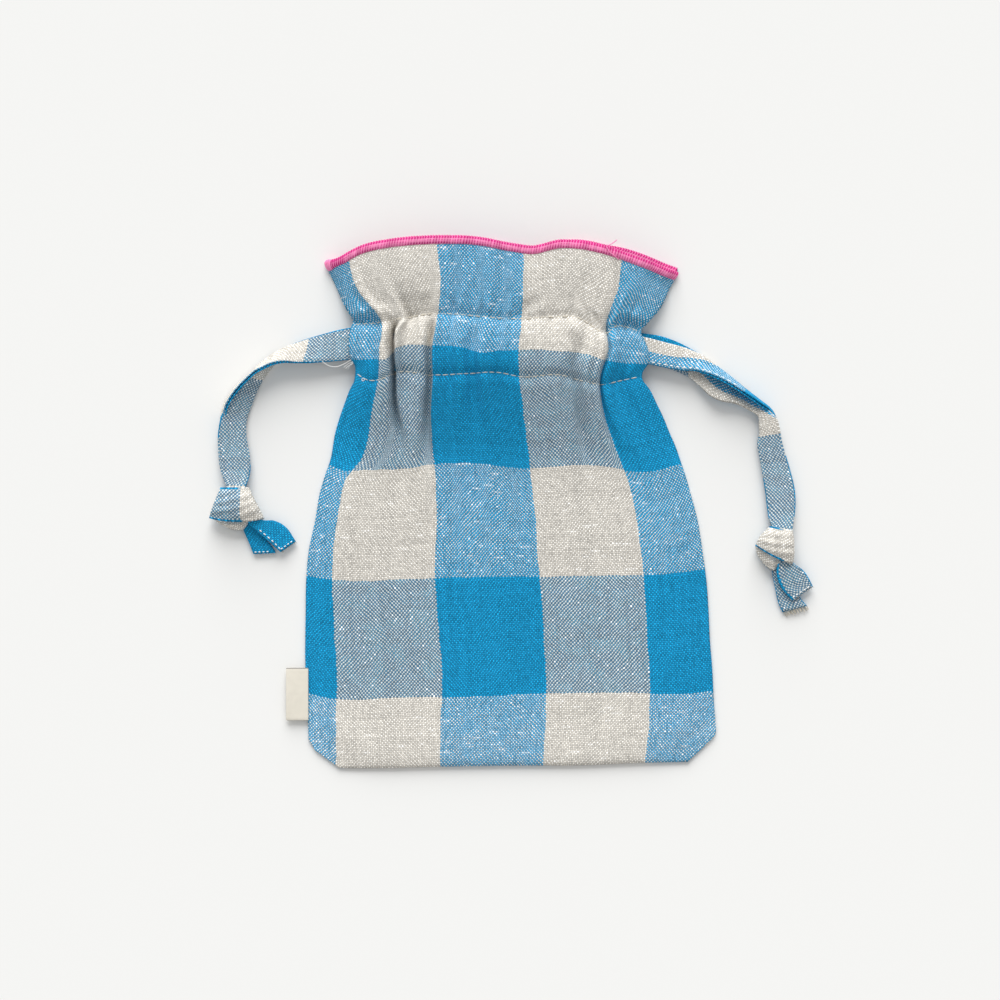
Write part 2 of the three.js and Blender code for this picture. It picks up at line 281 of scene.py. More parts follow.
def wovenLinen(name, checked):
    nodes = materialNodes(name)
    u, v = nodes.onCloth()

    def uneven(seed, scale, detail, reach):
        return (nodes.noise(nodes.vector(u, v, seed), scale, detail) - 0.5) * reach

    def yarns(at, seed, pitch):
        return (at + uneven(seed, *linen["slowWander"]) + uneven(seed + 2, *linen["quickWander"])) / pitch

    def lean(at, other):
        return (other.calc("FRACT") - 0.5) * twist + at

    def roundBack(at):
        return (at.calc("FRACT") * math.pi).calc("SINE")

    # a plain weave: the yarns go over and under by turns
    twist = uneven(6.0, *linen["lean"])
    warpAt, weftAt = yarns(u, 3.0, linen["warpPitch"]), yarns(v, 9.0, linen["weftPitch"])
    warpAt, weftAt = lean(warpAt, weftAt), lean(weftAt, warpAt)
    warpYarn, weftYarn = warpAt.calc("FLOOR"), weftAt.calc("FLOOR")
    weftOver = (warpYarn + weftYarn) % 2.0
    bulge = roundBack(warpAt) * roundBack(weftAt)

    def pick(ifWarpOver, ifWeftOver):
        return (ifWeftOver - ifWarpOver) * weftOver + ifWarpOver

    # stripes of blue warp and blue weft, whole yarns at a time
    def stripe(yarn, kind):
        place = yarn * linen[kind + "Pitch"] - linen[kind + "Start"]
        return place % linen[kind + "Period"] < linen[kind + "Stripe"]

    if checked:
        through, brighter, patches = linen["through"], linen["brighter"], linen["patches"]
        warpIsBlue, weftIsBlue = stripe(warpYarn, "warp"), stripe(weftYarn, "weft")
        patch = nodes.noise(nodes.vector(u, v, 12.0), patches["scale"])
        streak = nodes.vector(u * linen["streaks"]["across"], v * linen["streaks"]["along"], 14.0)
        streak = nodes.remap(nodes.noise(streak), linen["streaks"]["from"], 0.0, 1.0)
        # painted light: brighter towards the base
        paintedLightNearBase = nodes.remap(v, linen["base"], 1.0, 0.0)
        paler = (1.0 - warpIsBlue) * nodes.remap(patch, patches["from"], 0.0, patches["paler"])
        weftBlue = nodes.blend(paler, linen["weftBlue"], linen["paleBlue"])
        warpColour = nodes.blend(warpIsBlue, linen["warpNatural"], linen["warpBlue"])
        weftColour = nodes.blend(weftIsBlue, linen["weftNatural"], weftBlue)
        colour = nodes.blend(weftOver, warpColour, weftColour)
        under = nodes.blend(weftOver, weftColour, warpColour)
        topIsBlue, underIsBlue = pick(warpIsBlue, weftIsBlue), pick(weftIsBlue, warpIsBlue)
        topIsNatural, underIsNatural = 1.0 - topIsBlue, 1.0 - underIsBlue
        naturalOnBlue = topIsNatural * underIsBlue
        blueOnNatural = topIsBlue * underIsNatural

        # blue shows through a natural yarn that crosses it, most of all through the thin weft
        shows = naturalOnBlue * (1.0 - weftOver) * through["warp"]
        colour = nodes.blend(shows, colour, linen["onBlue"])
        toMouth, atMouth = through["mouth"]
        least = nodes.remap(v, (0.0, toMouth), 0.0, atMouth)
        inPatch = nodes.remap(patch, patches["from"], least, through["patches"])
        inStreak = nodes.remap(streak, (0.0, 1.0), least, through["streaks"])
        shows = nodes.remap(bulge, through["back"], through["sides"], inPatch.calc("MAXIMUM", inStreak))
        colour = nodes.blend(naturalOnBlue * weftOver * shows, colour, under)

        # natural shows a little through blue, and more near the base, where that is painted light
        shows = weftOver * through["blueWeft"] + (paintedLightNearBase * through["paintedLightOnBlue"] + through["blue"])
        colour = nodes.blend(blueOnNatural * shows, colour, linen["warpNatural"])
        onBlue = pick(streak * brighter["blueStreaks"] + brighter["blueWarp"], brighter["blueWeft"])
        onNatural = weftOver * brighter["naturalWeft"] + brighter["naturalWarp"]
        brightness = blueOnNatural * onBlue + topIsNatural * underIsNatural * onNatural
        # painted light near the base
        brightness = brightness + (paintedLightNearBase * brighter["base"] + 1.0)
    else:
        colour = nodes.blend(weftOver, linen["warpNatural"], linen["weftNatural"])

    # each yarn has its own shade, with thick and thin stretches, and no two crossings are alike
    slubs, flecks, shades = linen["slubs"], linen["flecks"], linen["shades"]
    crossing = nodes.grain(warpYarn, weftYarn, 1.0)
    yarnShade = pick(nodes.grain(warpYarn, 0.0, 2.0), nodes.grain(0.0, weftYarn, 4.0))
    warpSlub = nodes.noise(nodes.vector(warpYarn * slubs["between"], v * slubs["along"]))
    weftSlub = nodes.noise(nodes.vector(u * slubs["along"], weftYarn * slubs["between"]))

    # pale where a thick natural weft comes up for a short way
    fleck = (weftSlub > slubs["thick"]) * (weftOver * flecks["weft"] + flecks["warp"])
    if checked:
        rare = (crossing > flecks["rare"]) * naturalOnBlue
        fleck = (fleck * (1.0 - weftIsBlue)).calc("MAXIMUM", rare)
    colour = nodes.blend(fleck * flecks["share"], colour, linen["fleck"])
    # painted sheen: the tops of the yarns are a little whiter
    colour = nodes.blend(bulge * flecks["paintedSheenOnBulge"], colour, linen["fleck"])

    level = yarnShade * shades["yarn"] + pick(warpSlub, weftSlub) * shades["slub"]
    level = crossing * shades["crossing"] + level + (weftOver * shades["weft"] + shades["level"])
    # painted shade in the gaps between the yarns
    level = level * (bulge * linen["roundness"]["back"] + linen["roundness"]["sides"])
    if checked:
        level = level * brightness
    return nodes.finish(nodes.shade(colour, level), bulge, linen)


spun = {
    "fuzz": 900,
    "shades": (0.5, 0.75),
    "bump": (0.3, 0.1),
    "finish": {"Roughness": 0.6, "Sheen Weight": 0.15},
}


def spunThread(name, colour):
    nodes = materialNodes(name)
    fuzz = nodes.noise(nodes.inSpace(), spun["fuzz"])
    colour = nodes.shade(colour, fuzz * spun["shades"][0] + spun["shades"][1])
    return nodes.finish(colour, fuzz, spun)


# overlock thread: turns side by side along the edge, with painted shade between the turns, darkest between
# the loops on the very top
overlock = {
    "pink": (0.89, 0.262, 0.490, 1),
    # the colour of the painted shade between the turns
    "dark": (0.54, 0.015, 0.185, 1),
    "turn": 1.15,
    "lean": 0.22,
    "top": 1.5,             # the loops on the very top reach down to here
    "needleRow": 3.1,       # the needle thread lies from here down
    "knob": 4.6,            # length of the knob at the start
    "loose": (8.6, 4.0),    # where the turns after it are loose, and how far each way
    "patches": {"along": 0.16, "from": (0.42, 0.60), "dark": (0.15, 0.95)},
    # how deep the painted shade between the turns is, and where
    "darker": {"top": 1.5, "needleRow": 0.8, "loose": 0.9, "allOverTop": 0.12, "knob": -0.85},
    "shades": (0.25, 0.88),
    "roundness": 1.6,       # of the turns, which are narrower on the very top
    "topRoundness": 2.5,
    "bump": (0.3, 0.2),
    "finish": {"Roughness": 0.6, "Specular IOR Level": 0.2},
}


def overlockThread(name):
    nodes = materialNodes(name)
    along, fromTop = nodes.onCloth()
    along = fromTop * overlock["lean"] + along
    turn, darker, patches = overlock["turn"], overlock["darker"], overlock["patches"]
    turnShape = abs((along * (math.pi / turn)).calc("SINE")) ** overlock["roundness"]
    onTop = fromTop < overlock["top"]
    knob = along < overlock["knob"]
    loose = abs(along - overlock["loose"][0]) < overlock["loose"][1]
    gap = 1.0 - turnShape
    topGap = 1.0 - turnShape ** overlock["topRoundness"]
    gap = onTop * (topGap - gap) + gap
    cloud = nodes.noise(nodes.vector(along * patches["along"], fromTop, 2.0))
    # painted shade in the gaps between the turns: deeper in the needle row, in cloudy patches, on the top and
    # where the turns are loose, with a little all over the top
    needleRow = (fromTop > overlock["needleRow"]) * cloud
    dark = needleRow * darker["needleRow"] + nodes.remap(cloud, patches["from"], *patches["dark"])
    dark = loose * darker["loose"] + (onTop * darker["top"] + dark)
    dark = onTop * darker["allOverTop"] + gap * dark
    dark = (dark * (knob * darker["knob"] + 1.0)).calc("MINIMUM", 1.0)
    each = nodes.grain((along / turn).calc("FLOOR"), 0.0, 1.0)
    colour = nodes.blend(dark, overlock["pink"], overlock["dark"])
    colour = nodes.shade(colour, each * overlock["shades"][0] + overlock["shades"][1])
    return nodes.finish(colour, turnShape, overlock)


label = {
    "x": (-90.6, -81.2),
    "y": (-92.1, -70.0),
    "z": (1.35, 2.55),
    "hinge": (-86.2, -84.6),
    "cuts": (11, 15),       # across and along
    "rim": 0.35,
    "bow": 0.3,             # slight, as folded tape has
    "colour": (0.78, 0.735, 0.635, 1),
    "rib": 0.5,
    "clouds": 350,
    "shades": {"rib": 0.06, "cloud": 0.12, "level": 0.86},
    "darkTopLineFrom": -70.4,       # darker from here to the top
    "edgeColour": (0.16, 0.15, 0.14, 1),
    "edgeShare": 0.8,
    "bump": (0.25, 0.1),
    "finish": {"Roughness": 0.75},
}


def twillLabel(name):
    nodes = materialNodes(name)
    x, y = [nodes.node("SeparateXYZ", k, {0: nodes.inSpace()}) for k in range(2)]
    rib = abs(((x + y) * (math.pi / (label["rib"] * mm))).calc("SINE"))
    cloud = nodes.noise(nodes.inSpace(), label["clouds"])
    shades = label["shades"]
    level = rib * shades["rib"] + (cloud * shades["cloud"] + shades["level"])
    # a dark line along the top of the label
    onEdge = (y > label["darkTopLineFrom"] * mm) * label["edgeShare"]
    colour = nodes.blend(onEdge, nodes.shade(label["colour"], level), label["edgeColour"])
    return nodes.finish(colour, rib, label)


checkedLinen = wovenLinen("checkedLinen", True)
naturalLinen = wovenLinen("naturalLinen", False)
naturalThread = spunThread("naturalThread", (0.66, 0.61, 0.51, 1))
whiteThread = spunThread("whiteThread", (0.88, 0.87, 0.84, 1))
pinkThread = spunThread("pinkThread", (0.88, 0.25, 0.50, 1))
pinkOverlock = overlockThread("pinkOverlock")
labelTape = twillLabel("labelTape")
print("materials made")


# Camera, light and floor

stageSetup = {
    "floorSize": 8.0,
    "floor": {"Base Color": (0.86, 0.86, 0.845, 1), "Roughness": 0.95, "Specular IOR Level": 0.0},
    "frameWidth": 0.42,      # of the picture, at the height of the cloth
    "clothHeight": 0.006,
    "lens": 85,
    "sensor": 36,
    "aim": (-0.0004, 0.0008),
    "sunFrom": (-0.06, 0.97, 0.50),
    "sunStrength": 3.55,
    "sunAngle": 50,
    "room": {"Color": (1.0, 1.0, 1.0, 1), "Strength": 0.55},
}


def makeStage(setup):
    camera = bpy.data.cameras.new("camera")
    camera.lens = setup["lens"]
    camera.sensor_width = setup["sensor"]
    distance = setup["frameWidth"] * setup["lens"] / setup["sensor"]
    above = bpy.data.objects.new("camera", camera)
    above.location = (*setup["aim"], distance + setup["clothHeight"])
    scene.collection.objects.link(above)
    scene.camera = above

    bm = bmesh.new()
    bmesh.ops.create_grid(bm, x_segments=4, y_segments=4, size=setup["floorSize"] / 2)
    floor = newPiece("floor", bm, materialNodes("paleFloor").setShader(setup["floor"]))

    sun = bpy.data.lights.new("softWindow", "SUN")
    sun.energy = setup["sunStrength"]
    sun.angle = math.radians(setup["sunAngle"])
    window = bpy.data.objects.new("softWindow", sun)
    window.rotation_euler = (-Vector(setup["sunFrom"])).to_track_quat("-Z", "Y").to_euler()
    scene.collection.objects.link(window)

    world = bpy.data.worlds.new("softRoom")
    world.use_nodes = True
    for key, value in setup["room"].items():
        world.node_tree.nodes["Background"].inputs[key].default_value = value
    scene.world = world
    scene.view_settings.view_transform = "Standard"


makeStage(stageSetup)
print("stage made")


# Tapes: a folded strip of the same linen. Each is given by its two long edges, from the pouch to the knot:
# x, y and height of one edge, then of the other.

tapes = {
    "thickness": 1.6,
    "rings": 64,
    "gapeDepth": 0.5,
    "blueMargin": 3,        # from the ends of a blue stripe, where an edge is blue
    "edgeReach": 0.8,       # on the flat cloth, across an edge and across the underside
    "underReach": 5.5,
    "lengths": {"leftFront": 0.104, "leftBack": 0.100, "rightFront": 0.117, "rightBack": 0.115},
    "leftFront": (
        (-58.9, 73.7, 4.6, -58.9, 59.7, 4.8), (-62.7, 73.3, 4.8, -62.7, 59.9, 5.0),
        (-67.2, 72.5, 4.6, -67.9, 59.3, 5.4), (-72.8, 71.1, 4.2, -74.2, 58.8, 6.0),
        (-78.4, 69.5, 3.6, -80.5, 58.4, 6.8), (-83.9, 67.7, 3.0, -86.7, 58.4, 7.6),
        (-89.5, 65.5, 2.4, -91.5, 58.6, 8.4), (-94.4, 63.1, 2.0, -95.8, 57.8, 9.0),
        (-98.6, 60.3, 1.7, -99.6, 56.1, 9.4), (-102.1, 57.3, 1.5, -102.6, 54.6, 9.6),
        (-105.5, 54.0, 1.4, -105.0, 52.6, 9.6), (-109.0, 50.8, 1.3, -107.9, 49.9, 9.3),
        (-112.2, 47.6, 1.2, -111.0, 46.5, 8.6), (-114.9, 43.9, 1.1, -113.8, 42.7, 7.4),
        (-116.8, 39.9, 1.0, -115.6, 39.2, 6.0), (-117.9, 35.0, 1.0, -116.1, 34.7, 4.2),
        (-118.4, 29.1, 0.95, -114.2, 29.0, 2.2), (-118.2, 23.5, 0.95, -111.1, 23.4, 1.0),
        (-117.7, 16.6, 0.95, -108.7, 16.6, 0.95), (-116.3, 10.3, 0.95, -107.6, 10.3, 0.95),
        (-114.9, 6.1, 1.6, -108.2, 6.1, 1.6), (-114.6, 3.3, 2.6, -108.5, 3.3, 2.6),
    ),
    "leftBack": (
        (-58.9, 72.4, 2.0, -58.9, 60.8, 2.0), (-62.7, 72.1, 2.0, -62.7, 60.8, 2.0),
        (-67.9, 71.0, 1.8, -68.5, 60.3, 1.8), (-73.5, 69.5, 1.6, -74.5, 59.7, 1.6),
        (-79.1, 67.8, 1.4, -80.5, 59.4, 1.4), (-84.6, 65.7, 1.3, -86.4, 59.3, 1.2),
        (-90.2, 63.2, 1.4, -91.6, 59.2, 1.1), (-95.1, 60.6, 1.8, -95.6, 57.7, 1.0),
        (-98.9, 58.0, 2.6, -97.7, 55.4, 1.0), (-102.6, 55.2, 3.6, -99.4, 53.3, 1.0),
        (-105.9, 52.2, 4.8, -100.9, 51.0, 1.0), (-108.7, 49.3, 5.2, -102.6, 47.9, 1.0),
        (-111.8, 45.6, 5.2, -104.1, 44.1, 1.0), (-114.9, 41.3, 4.9, -105.5, 40.4, 1.1),
        (-117.4, 36.8, 4.4, -106.8, 36.6, 1.2), (-118.7, 31.9, 3.8, -107.6, 31.9, 1.5),
        (-119.3, 27.0, 3.2, -107.3, 27.0, 1.9), (-119.1, 22.1, 2.8, -106.4, 22.1, 2.2),
        (-118.8, 17.3, 2.6, -105.7, 17.3, 2.4), (-118.1, 13.1, 2.7, -105.6, 13.1, 2.6),
        (-117.0, 9.9, 3.2, -106.4, 9.6, 3.2), (-115.5, 6.5, 4.4, -107.4, 6.5, 4.4),
        (-114.9, 3.0, 5.2, -108.0, 3.0, 5.2),
    ),
    "rightFront": (
        (56.8, 69.8, 4.6, 56.8, 58.2, 4.8), (61.0, 69.1, 4.8, 61.5, 57.9, 5.0),
        (69.6, 66.9, 4.6, 68.3, 56.6, 5.4), (78.6, 64.4, 4.0, 75.6, 55.4, 6.0),
        (85.5, 61.1, 3.2, 81.8, 55.1, 7.2), (91.9, 56.2, 2.4, 88.5, 53.0, 8.4),
        (97.9, 51.5, 1.8, 95.5, 49.6, 9.0), (103.9, 46.5, 1.5, 102.4, 45.2, 9.2),
        (109.5, 42.2, 1.3, 108.5, 41.2, 7.4), (113.9, 38.6, 1.1, 113.2, 37.8, 4.2),
        (116.1, 34.8, 1.0, 114.6, 33.9, 1.9), (117.4, 30.1, 1.0, 113.8, 29.6, 1.1),
        (118.3, 24.1, 0.95, 112.5, 23.9, 1.0), (120.6, 15.5, 0.95, 113.3, 15.3, 0.95),
        (122.3, 6.1, 0.95, 114.6, 5.9, 0.95), (122.8, -2.5, 0.95, 115.2, -2.7, 0.95),
        (122.2, -11.1, 1.6, 115.5, -10.2, 1.6), (121.5, -14.5, 2.6, 115.5, -13.6, 2.6),
    ),
    "rightBack": (
        (56.8, 71.4, 2.0, 56.8, 60.1, 2.0), (60.6, 71.0, 2.0, 61.0, 59.6, 2.0),
        (67.0, 70.0, 1.9, 66.9, 57.3, 1.9), (74.3, 67.5, 1.7, 73.2, 55.4, 2.0),
        (80.3, 64.4, 1.5, 79.2, 52.5, 2.6), (86.1, 60.8, 1.3, 83.8, 48.6, 3.8),
        (90.9, 55.8, 1.1, 88.0, 44.6, 5.0), (95.3, 51.5, 1.1, 92.8, 42.4, 5.2),
        (100.5, 47.2, 1.3, 98.9, 41.4, 4.6), (105.6, 43.6, 1.7, 104.6, 38.7, 3.8),
        (111.8, 39.3, 3.8, 108.4, 35.7, 3.8), (116.1, 35.2, 3.9, 108.5, 32.5, 3.6),
        (117.4, 30.9, 3.5, 108.9, 28.9, 3.3), (118.1, 26.8, 2.9, 108.0, 25.8, 2.8),
        (119.8, 20.6, 2.4, 108.9, 19.4, 2.4), (121.9, 13.4, 2.4, 110.1, 12.5, 2.4),
        (123.8, 5.2, 2.4, 111.4, 4.4, 2.4), (124.1, -1.6, 2.5, 112.2, -2.5, 2.6),
        (123.4, -7.6, 3.2, 113.1, -8.1, 3.2), (122.6, -11.9, 4.2, 114.1, -10.6, 4.2),
        (121.9, -15.8, 5.0, 114.4, -14.3, 5.0),
    ),
}

# Where a tape's weft stripes start, and how its warp stripe lies across it. The stretches of the fold and of
# the open edge that are blue, and how far the open edge gapes, go by the share of the length.
tapeCloth = {
    "leftFront": {
        "starts": 56.5, "stripe": "natural", "split": ((0, 0.97), (1, 0.97)),
        "foldBlue": ((0, 0.29),), "openBlue": ((0, 1),),
        "gape": ((0.36, 0), (0.42, 1), (0.49, 1), (0.51, 0.3), (0.53, 1), (0.60, 1), (0.66, 0)),
    },
    "leftBack": {
        "starts": -17.0, "stripe": "natural", "split": ((0, 0.97), (1, 0.97)),
        "foldBlue": ((0.53, 0.76),), "openBlue": ((0.87, 0.99),), "gape": ((0, 0),),
    },
    "rightFront": {
        "starts": 77.6, "stripe": "natural",
        "split": ((0, -0.02), (0.14, -0.05), (0.22, -0.4), (0.31, -1.1), (1, -1.1)),
        "foldBlue": ((0.29, 0.56),), "openBlue": ((0, 1),),
        "gape": ((0.34, 0), (0.40, 1), (0.52, 1), (0.56, 0)),
    },
    "rightBack": {
        "starts": 55.5, "stripe": "blue",
        "split": ((0, 0.1), (0.35, 0.15), (0.5, -0.1), (0.58, -1.2), (1, -1.2)),
        "foldBlue": ((0, 0.24), (0.70, 0.93)), "openBlue": ((0.77, 0.93),), "gape": ((0, 0),),
    },
}


def followRails(rails, rings):
    rails = np.array(rails, float)
    at = lengthAlong((rails[:, :3] + rails[:, 3:]) / 2)
    both = throughTable(np.linspace(0, at[-1], rings + 1), at, rails)
    near, far = both[:, :3], both[:, 3:]
    centre = (near + far) / 2
    half = (far - near) / 2
    normal = unit(np.cross(unit(np.gradient(centre, axis=0)), half))
    if normal[0, 2] < 0:
        normal = -normal
    return centre, half, normal


def within(share, stretches):
    found = np.zeros(len(share), bool)
    for low, high in stretches:
        found |= (share >= low) & (share <= high)
    return found


# Once round a folded tape: place across from -1 to 1, place through from -1 to 1, and which face it is on.
# Its open edge is a lip, a gap and a hem.
def tapeRound():
    over = [(a, 1.0, "top") for a in (-0.92, -0.6, -0.3, 0.0, 0.3, 0.6, 0.96)]
    lip = [(a, n, "lip") for a, n in ((0.96, 1.0), (0.99, 0.85), (1.0, 0.65), (0.98, 0.35))]
    gap = [(0.86, n, "gap") for n in (0.2, -0.2)]
    hem = [(a, n, "hem") for a, n in ((0.98, -0.35), (1.0, -0.65), (0.96, -1.0))]
    under = [(a, -1.0, "under") for a in (0.96, 0.6, 0.3, 0.0, -0.3, -0.6, -0.96)]
    turned = ((-0.96, -1.0), (-1.0, -0.5), (-1.0, 0.5), (-0.98, 0.85), (-0.92, 1.0))
    fold = [(a, n, "fold") for a, n in turned]
    return over + lip + gap + hem + under + fold + over[:1]


def tapePiece(name, rails, cloth, rings, thickness):
    centre, half, normal = followRails(rails, rings)
    along = lengthAlong(centre)
    share = along / along[-1]
    split = np.interp(share, *zip(*cloth["split"]))
    boundary = linen["warpStart"] + (0 if cloth["stripe"] == "natural" else linen["warpStripe"])
    run = cloth["starts"] + along
    margin = tapes["blueMargin"]
    blueRun = linen["weftStart"] + margin + along % (linen["weftStripe"] - 2 * margin)
    halfWidth = np.linalg.norm(half, axis=1)
    gape = np.interp(share, *zip(*cloth["gape"]))
    blue = {"fold": within(share, cloth["foldBlue"]), "open": within(share, cloth["openBlue"])}
    faces = linen["stripeFaces"]
    points, places = [], []
    for a, n, face in tapeRound():
        reach = a - tapes["gapeDepth"] * gape if face == "gap" else np.full_like(share, a)
        points.append(centre + half * reach[:, None] + normal * n * thickness / 2)
        if face == "top":
            u, v = boundary + (a - split) * halfWidth, run
        elif face == "under":
            u, v = np.full_like(share, faces["under"] - tapes["underReach"] * a), run
        else:
            isBlue = blue["fold" if face == "fold" else "open"]
            u = np.where(isBlue, faces["edge"], faces["plain"]) + tapes["edgeReach"] * n
            v = run if face == "lip" else np.where(isBlue, blueRun, run)
        places.append(np.stack([u, v], -1))
    return gridPiece(name, np.stack(points, 1), np.stack(places, 1), checkedLinen, tube=True), centre


cords = {}
for name in ("leftFront", "leftBack", "rightFront", "rightBack"):
    piece, centre = tapePiece(name + "Tape", tapes[name], tapeCloth[name], tapes["rings"], tapes["thickness"])
    cords[name] = {"piece": piece, "path": centre * mm, "length": tapes["lengths"][name]}
    print(name, "tape is", round(lengthAlong(centre)[-1], 1), "mm long")


# Knots: turns of tape pulled flat round the strands. Each turn is given by its outline, left and right, from
# the edge that the strands go in at to the edge that the tails come out of.

knots = {
    "rings": 26,
    "around": 44,
    "rim": 0.75,                # blue along both edges, as far across as rimTo
    "lowest": 0.3,
    "weftSplit": 79.3,
    "squareness": (0.7, 0.8),   # of each ring, across and upwards: 1 is round
    "ends": (0.5, 0.86),        # smaller rings that turn in at both ends
    "endDepth": 1.4,
    "crease": {"height": 0.25, "along": 1.9, "across": 0.4},
    "rimStep": 0.05,            # the rim's colour ends within this length
    "blueStart": 10,            # on the blue stripe, for the rim
    "blueShare": 0.5,
    "faceShift": 0.3,
    "leftTurn": {
        "outline": ((-118.1, 6.1, -106.1, 6.1), (-119.3, 3.0, -104.7, 3.2), (-120.7, -0.5, -103.0, 0.0),
                    (-122.0, -4.0, -101.1, -3.6), (-122.9, -6.8, -99.5, -7.1)),
        "heights": (6.2, 8.2, 8.9, 8.7, 7.0), "splitX": -109.7, "rimTo": -109.7, "bow": 1.5,
    },
    "leftUnderTurn": {
        "outline": ((-119.5, -1.5, -104.8, -1.5), (-120.3, -5.4, -105.5, -7.3), (-119.8, -8.4, -107.6, -10.7),
                    (-116.7, -9.9, -108.7, -12.0)),
        "heights": (5.5, 5.6, 5.2, 4.2), "splitX": -130.0, "rimTo": -130.0, "bow": 0.8,
    },
    "rightTurn": {
        "outline": ((113.3, -10.2, 122.8, -11.9), (110.9, -12.3, 123.3, -15.4), (109.0, -14.3, 123.4, -19.2),
                    (107.7, -16.6, 123.3, -22.9), (107.0, -18.4, 122.8, -26.2)),
        "heights": (6.2, 8.2, 8.9, 8.8, 7.4), "splitX": 100.0, "rimTo": 118.0, "bow": 1.0,
    },
    "rightUnderTurn": {
        "outline": ((109.0, -15.4, 120.2, -21.4), (107.2, -18.8, 120.0, -25.0), (108.2, -22.6, 117.8, -26.5),
                    (110.9, -26.3, 115.2, -28.9)),
        "heights": (5.6, 5.8, 5.4, 4.4), "splitX": 100.0, "rimTo": 100.0, "bow": 0.6,
    },
}


def knotTurn(name, turn):
    outline = np.array(turn["outline"], float)
    middle = (outline[:, :2] + outline[:, 2:]) / 2
    at = lengthAlong(middle)
    rim, lowest, weftSplit = knots["rim"], knots["lowest"], knots["weftSplit"]
    crease, faces = knots["crease"], linen["stripeFaces"]
    steps = np.linspace(rim, at[-1] - rim, knots["rings"] - 3)
    toRim = rim - knots["rimStep"]
    steps = np.concatenate([[0, toRim], steps, [at[-1] - toRim, at[-1]]])
    rails = throughTable(steps, at, outline)
    heights = throughPoints(steps, at, turn["heights"])
    angles = np.linspace(0, 2 * math.pi, knots["around"] + 1)
    squareX, squareZ = [np.sign(wave) * abs(wave) ** power
                        for wave, power in zip((np.cos(angles), np.sin(angles)), knots["squareness"])]
    heading = unit(middle[-1] - middle[0])
    points, places = [], []
    last = len(steps) - 1
    order = [(k, 1.0) for k in range(last + 1)]
    order = [(0, size) for size in knots["ends"]] + order + [(last, size) for size in reversed(knots["ends"])]
    for k, size in order:
        left, right = rails[k, :2], rails[k, 2:]
        half = (right - left) / 2 * size
        deep = (heights[k] - lowest) / 2
        inward = (1 - size) * knots["endDepth"] * (1 if k == 0 else -1)
        ring = np.empty((len(angles), 3))
        bow = turn["bow"] * k / last * (1 - squareX ** 2)
        ring[:, :2] = (left + right) / 2 + squareX[:, None] * half + (inward + bow)[:, None] * heading
        ring[:, 2] = lowest + deep + squareZ * deep * size
        if size == 1:
            creases = np.sin(steps[k] * crease["along"] + crease["across"] * ring[:, 0])
            ring[:, 2] += crease["height"] * creases * np.maximum(squareZ, 0)
        points.append(ring)
        blueEdge = (size < 1 or min(k, last - k) < 2) & (ring[:, 0] < turn["rimTo"])
        run = weftSplit + (ring[:, 0] - turn["splitX"]) * np.where(squareZ >= 0, 1, -1)
        blueRun = linen["weftStart"] + knots["blueStart"] + (run - weftSplit) * knots["blueShare"]
        run = np.where(blueEdge, blueRun, run)
        face = np.where(blueEdge, faces["edge"], mix(*faces["natural"], k / last))
        places.append(np.stack([face + knots["faceShift"] * k / last, run], -1))
    return gridPiece(name, np.stack(points), np.stack(places), checkedLinen, tube=True)


# Tails: the ends of the tapes below the knot, cut raw

tailEdges = {"starts": 34.0, "foldBlue": ((0, 1),), "openBlue": ((0, 1),), "gape": ((0, 0),)}
tails = {
    "rings": 18,
    "thickness": 1.5,
    "leftUpper": {
        "rails": ((-101.0, -4.7, 4.6, -106.9, -6.4, 4.6), (-100.7, -7.3, 4.4, -106.1, -9.0, 4.6),
                  (-95.8, -7.8, 3.2, -102.7, -12.3, 4.4), (-90.6, -10.7, 2.2, -97.7, -16.7, 3.6),
                  (-86.5, -16.7, 1.7, -92.9, -21.2, 2.6)),
        "cloth": {"stripe": "blue", "split": ((0, 1.4), (1, 1.4)), **tailEdges},
    },
    "leftLower": {
        "rails": ((-104.5, -6.4, 2.4, -110.3, -6.4, 2.4), (-104.0, -9.9, 2.2, -109.6, -9.2, 2.2),
                  (-100.5, -14.1, 1.7, -107.6, -14.1, 1.7), (-97.0, -18.3, 1.4, -105.8, -18.3, 1.4),
                  (-94.9, -21.5, 1.2, -104.4, -22.0, 1.2)),
        "cloth": {"stripe": "blue", "split": ((0, 1.4), (1, 1.4)), **tailEdges},
    },
    "rightUpper": {
        "rails": ((122.8, -22.6, 4.6, 116.8, -22.6, 4.6), (122.9, -25.5, 4.4, 116.2, -26.5, 4.4),
                  (126.6, -28.2, 3.6, 116.1, -31.0, 4.2), (129.4, -31.7, 2.9, 118.5, -36.8, 3.4),
                  (131.4, -35.6, 2.5, 122.9, -41.6, 2.5)),
        "cloth": {"stripe": "natural", "split": ((0, 0.72), (1, 0.78)), **tailEdges},
    },
    "rightLower": {
        "rails": ((119.8, -24.8, 1.8, 114.2, -25.6, 1.8), (120.2, -30.8, 1.5, 114.4, -29.9, 1.5),
                  (124.5, -37.6, 1.2, 115.7, -36.1, 1.2), (127.2, -41.7, 1.1, 117.2, -42.8, 1.1),
                  (129.2, -43.9, 1.1, 118.9, -46.6, 1.1)),
        "cloth": {"stripe": "natural", "split": ((0, 0.9), (1, 0.9)), **tailEdges},
    },
}

drawstrings = {"left": "left_drawstring", "right": "right_drawstring"}

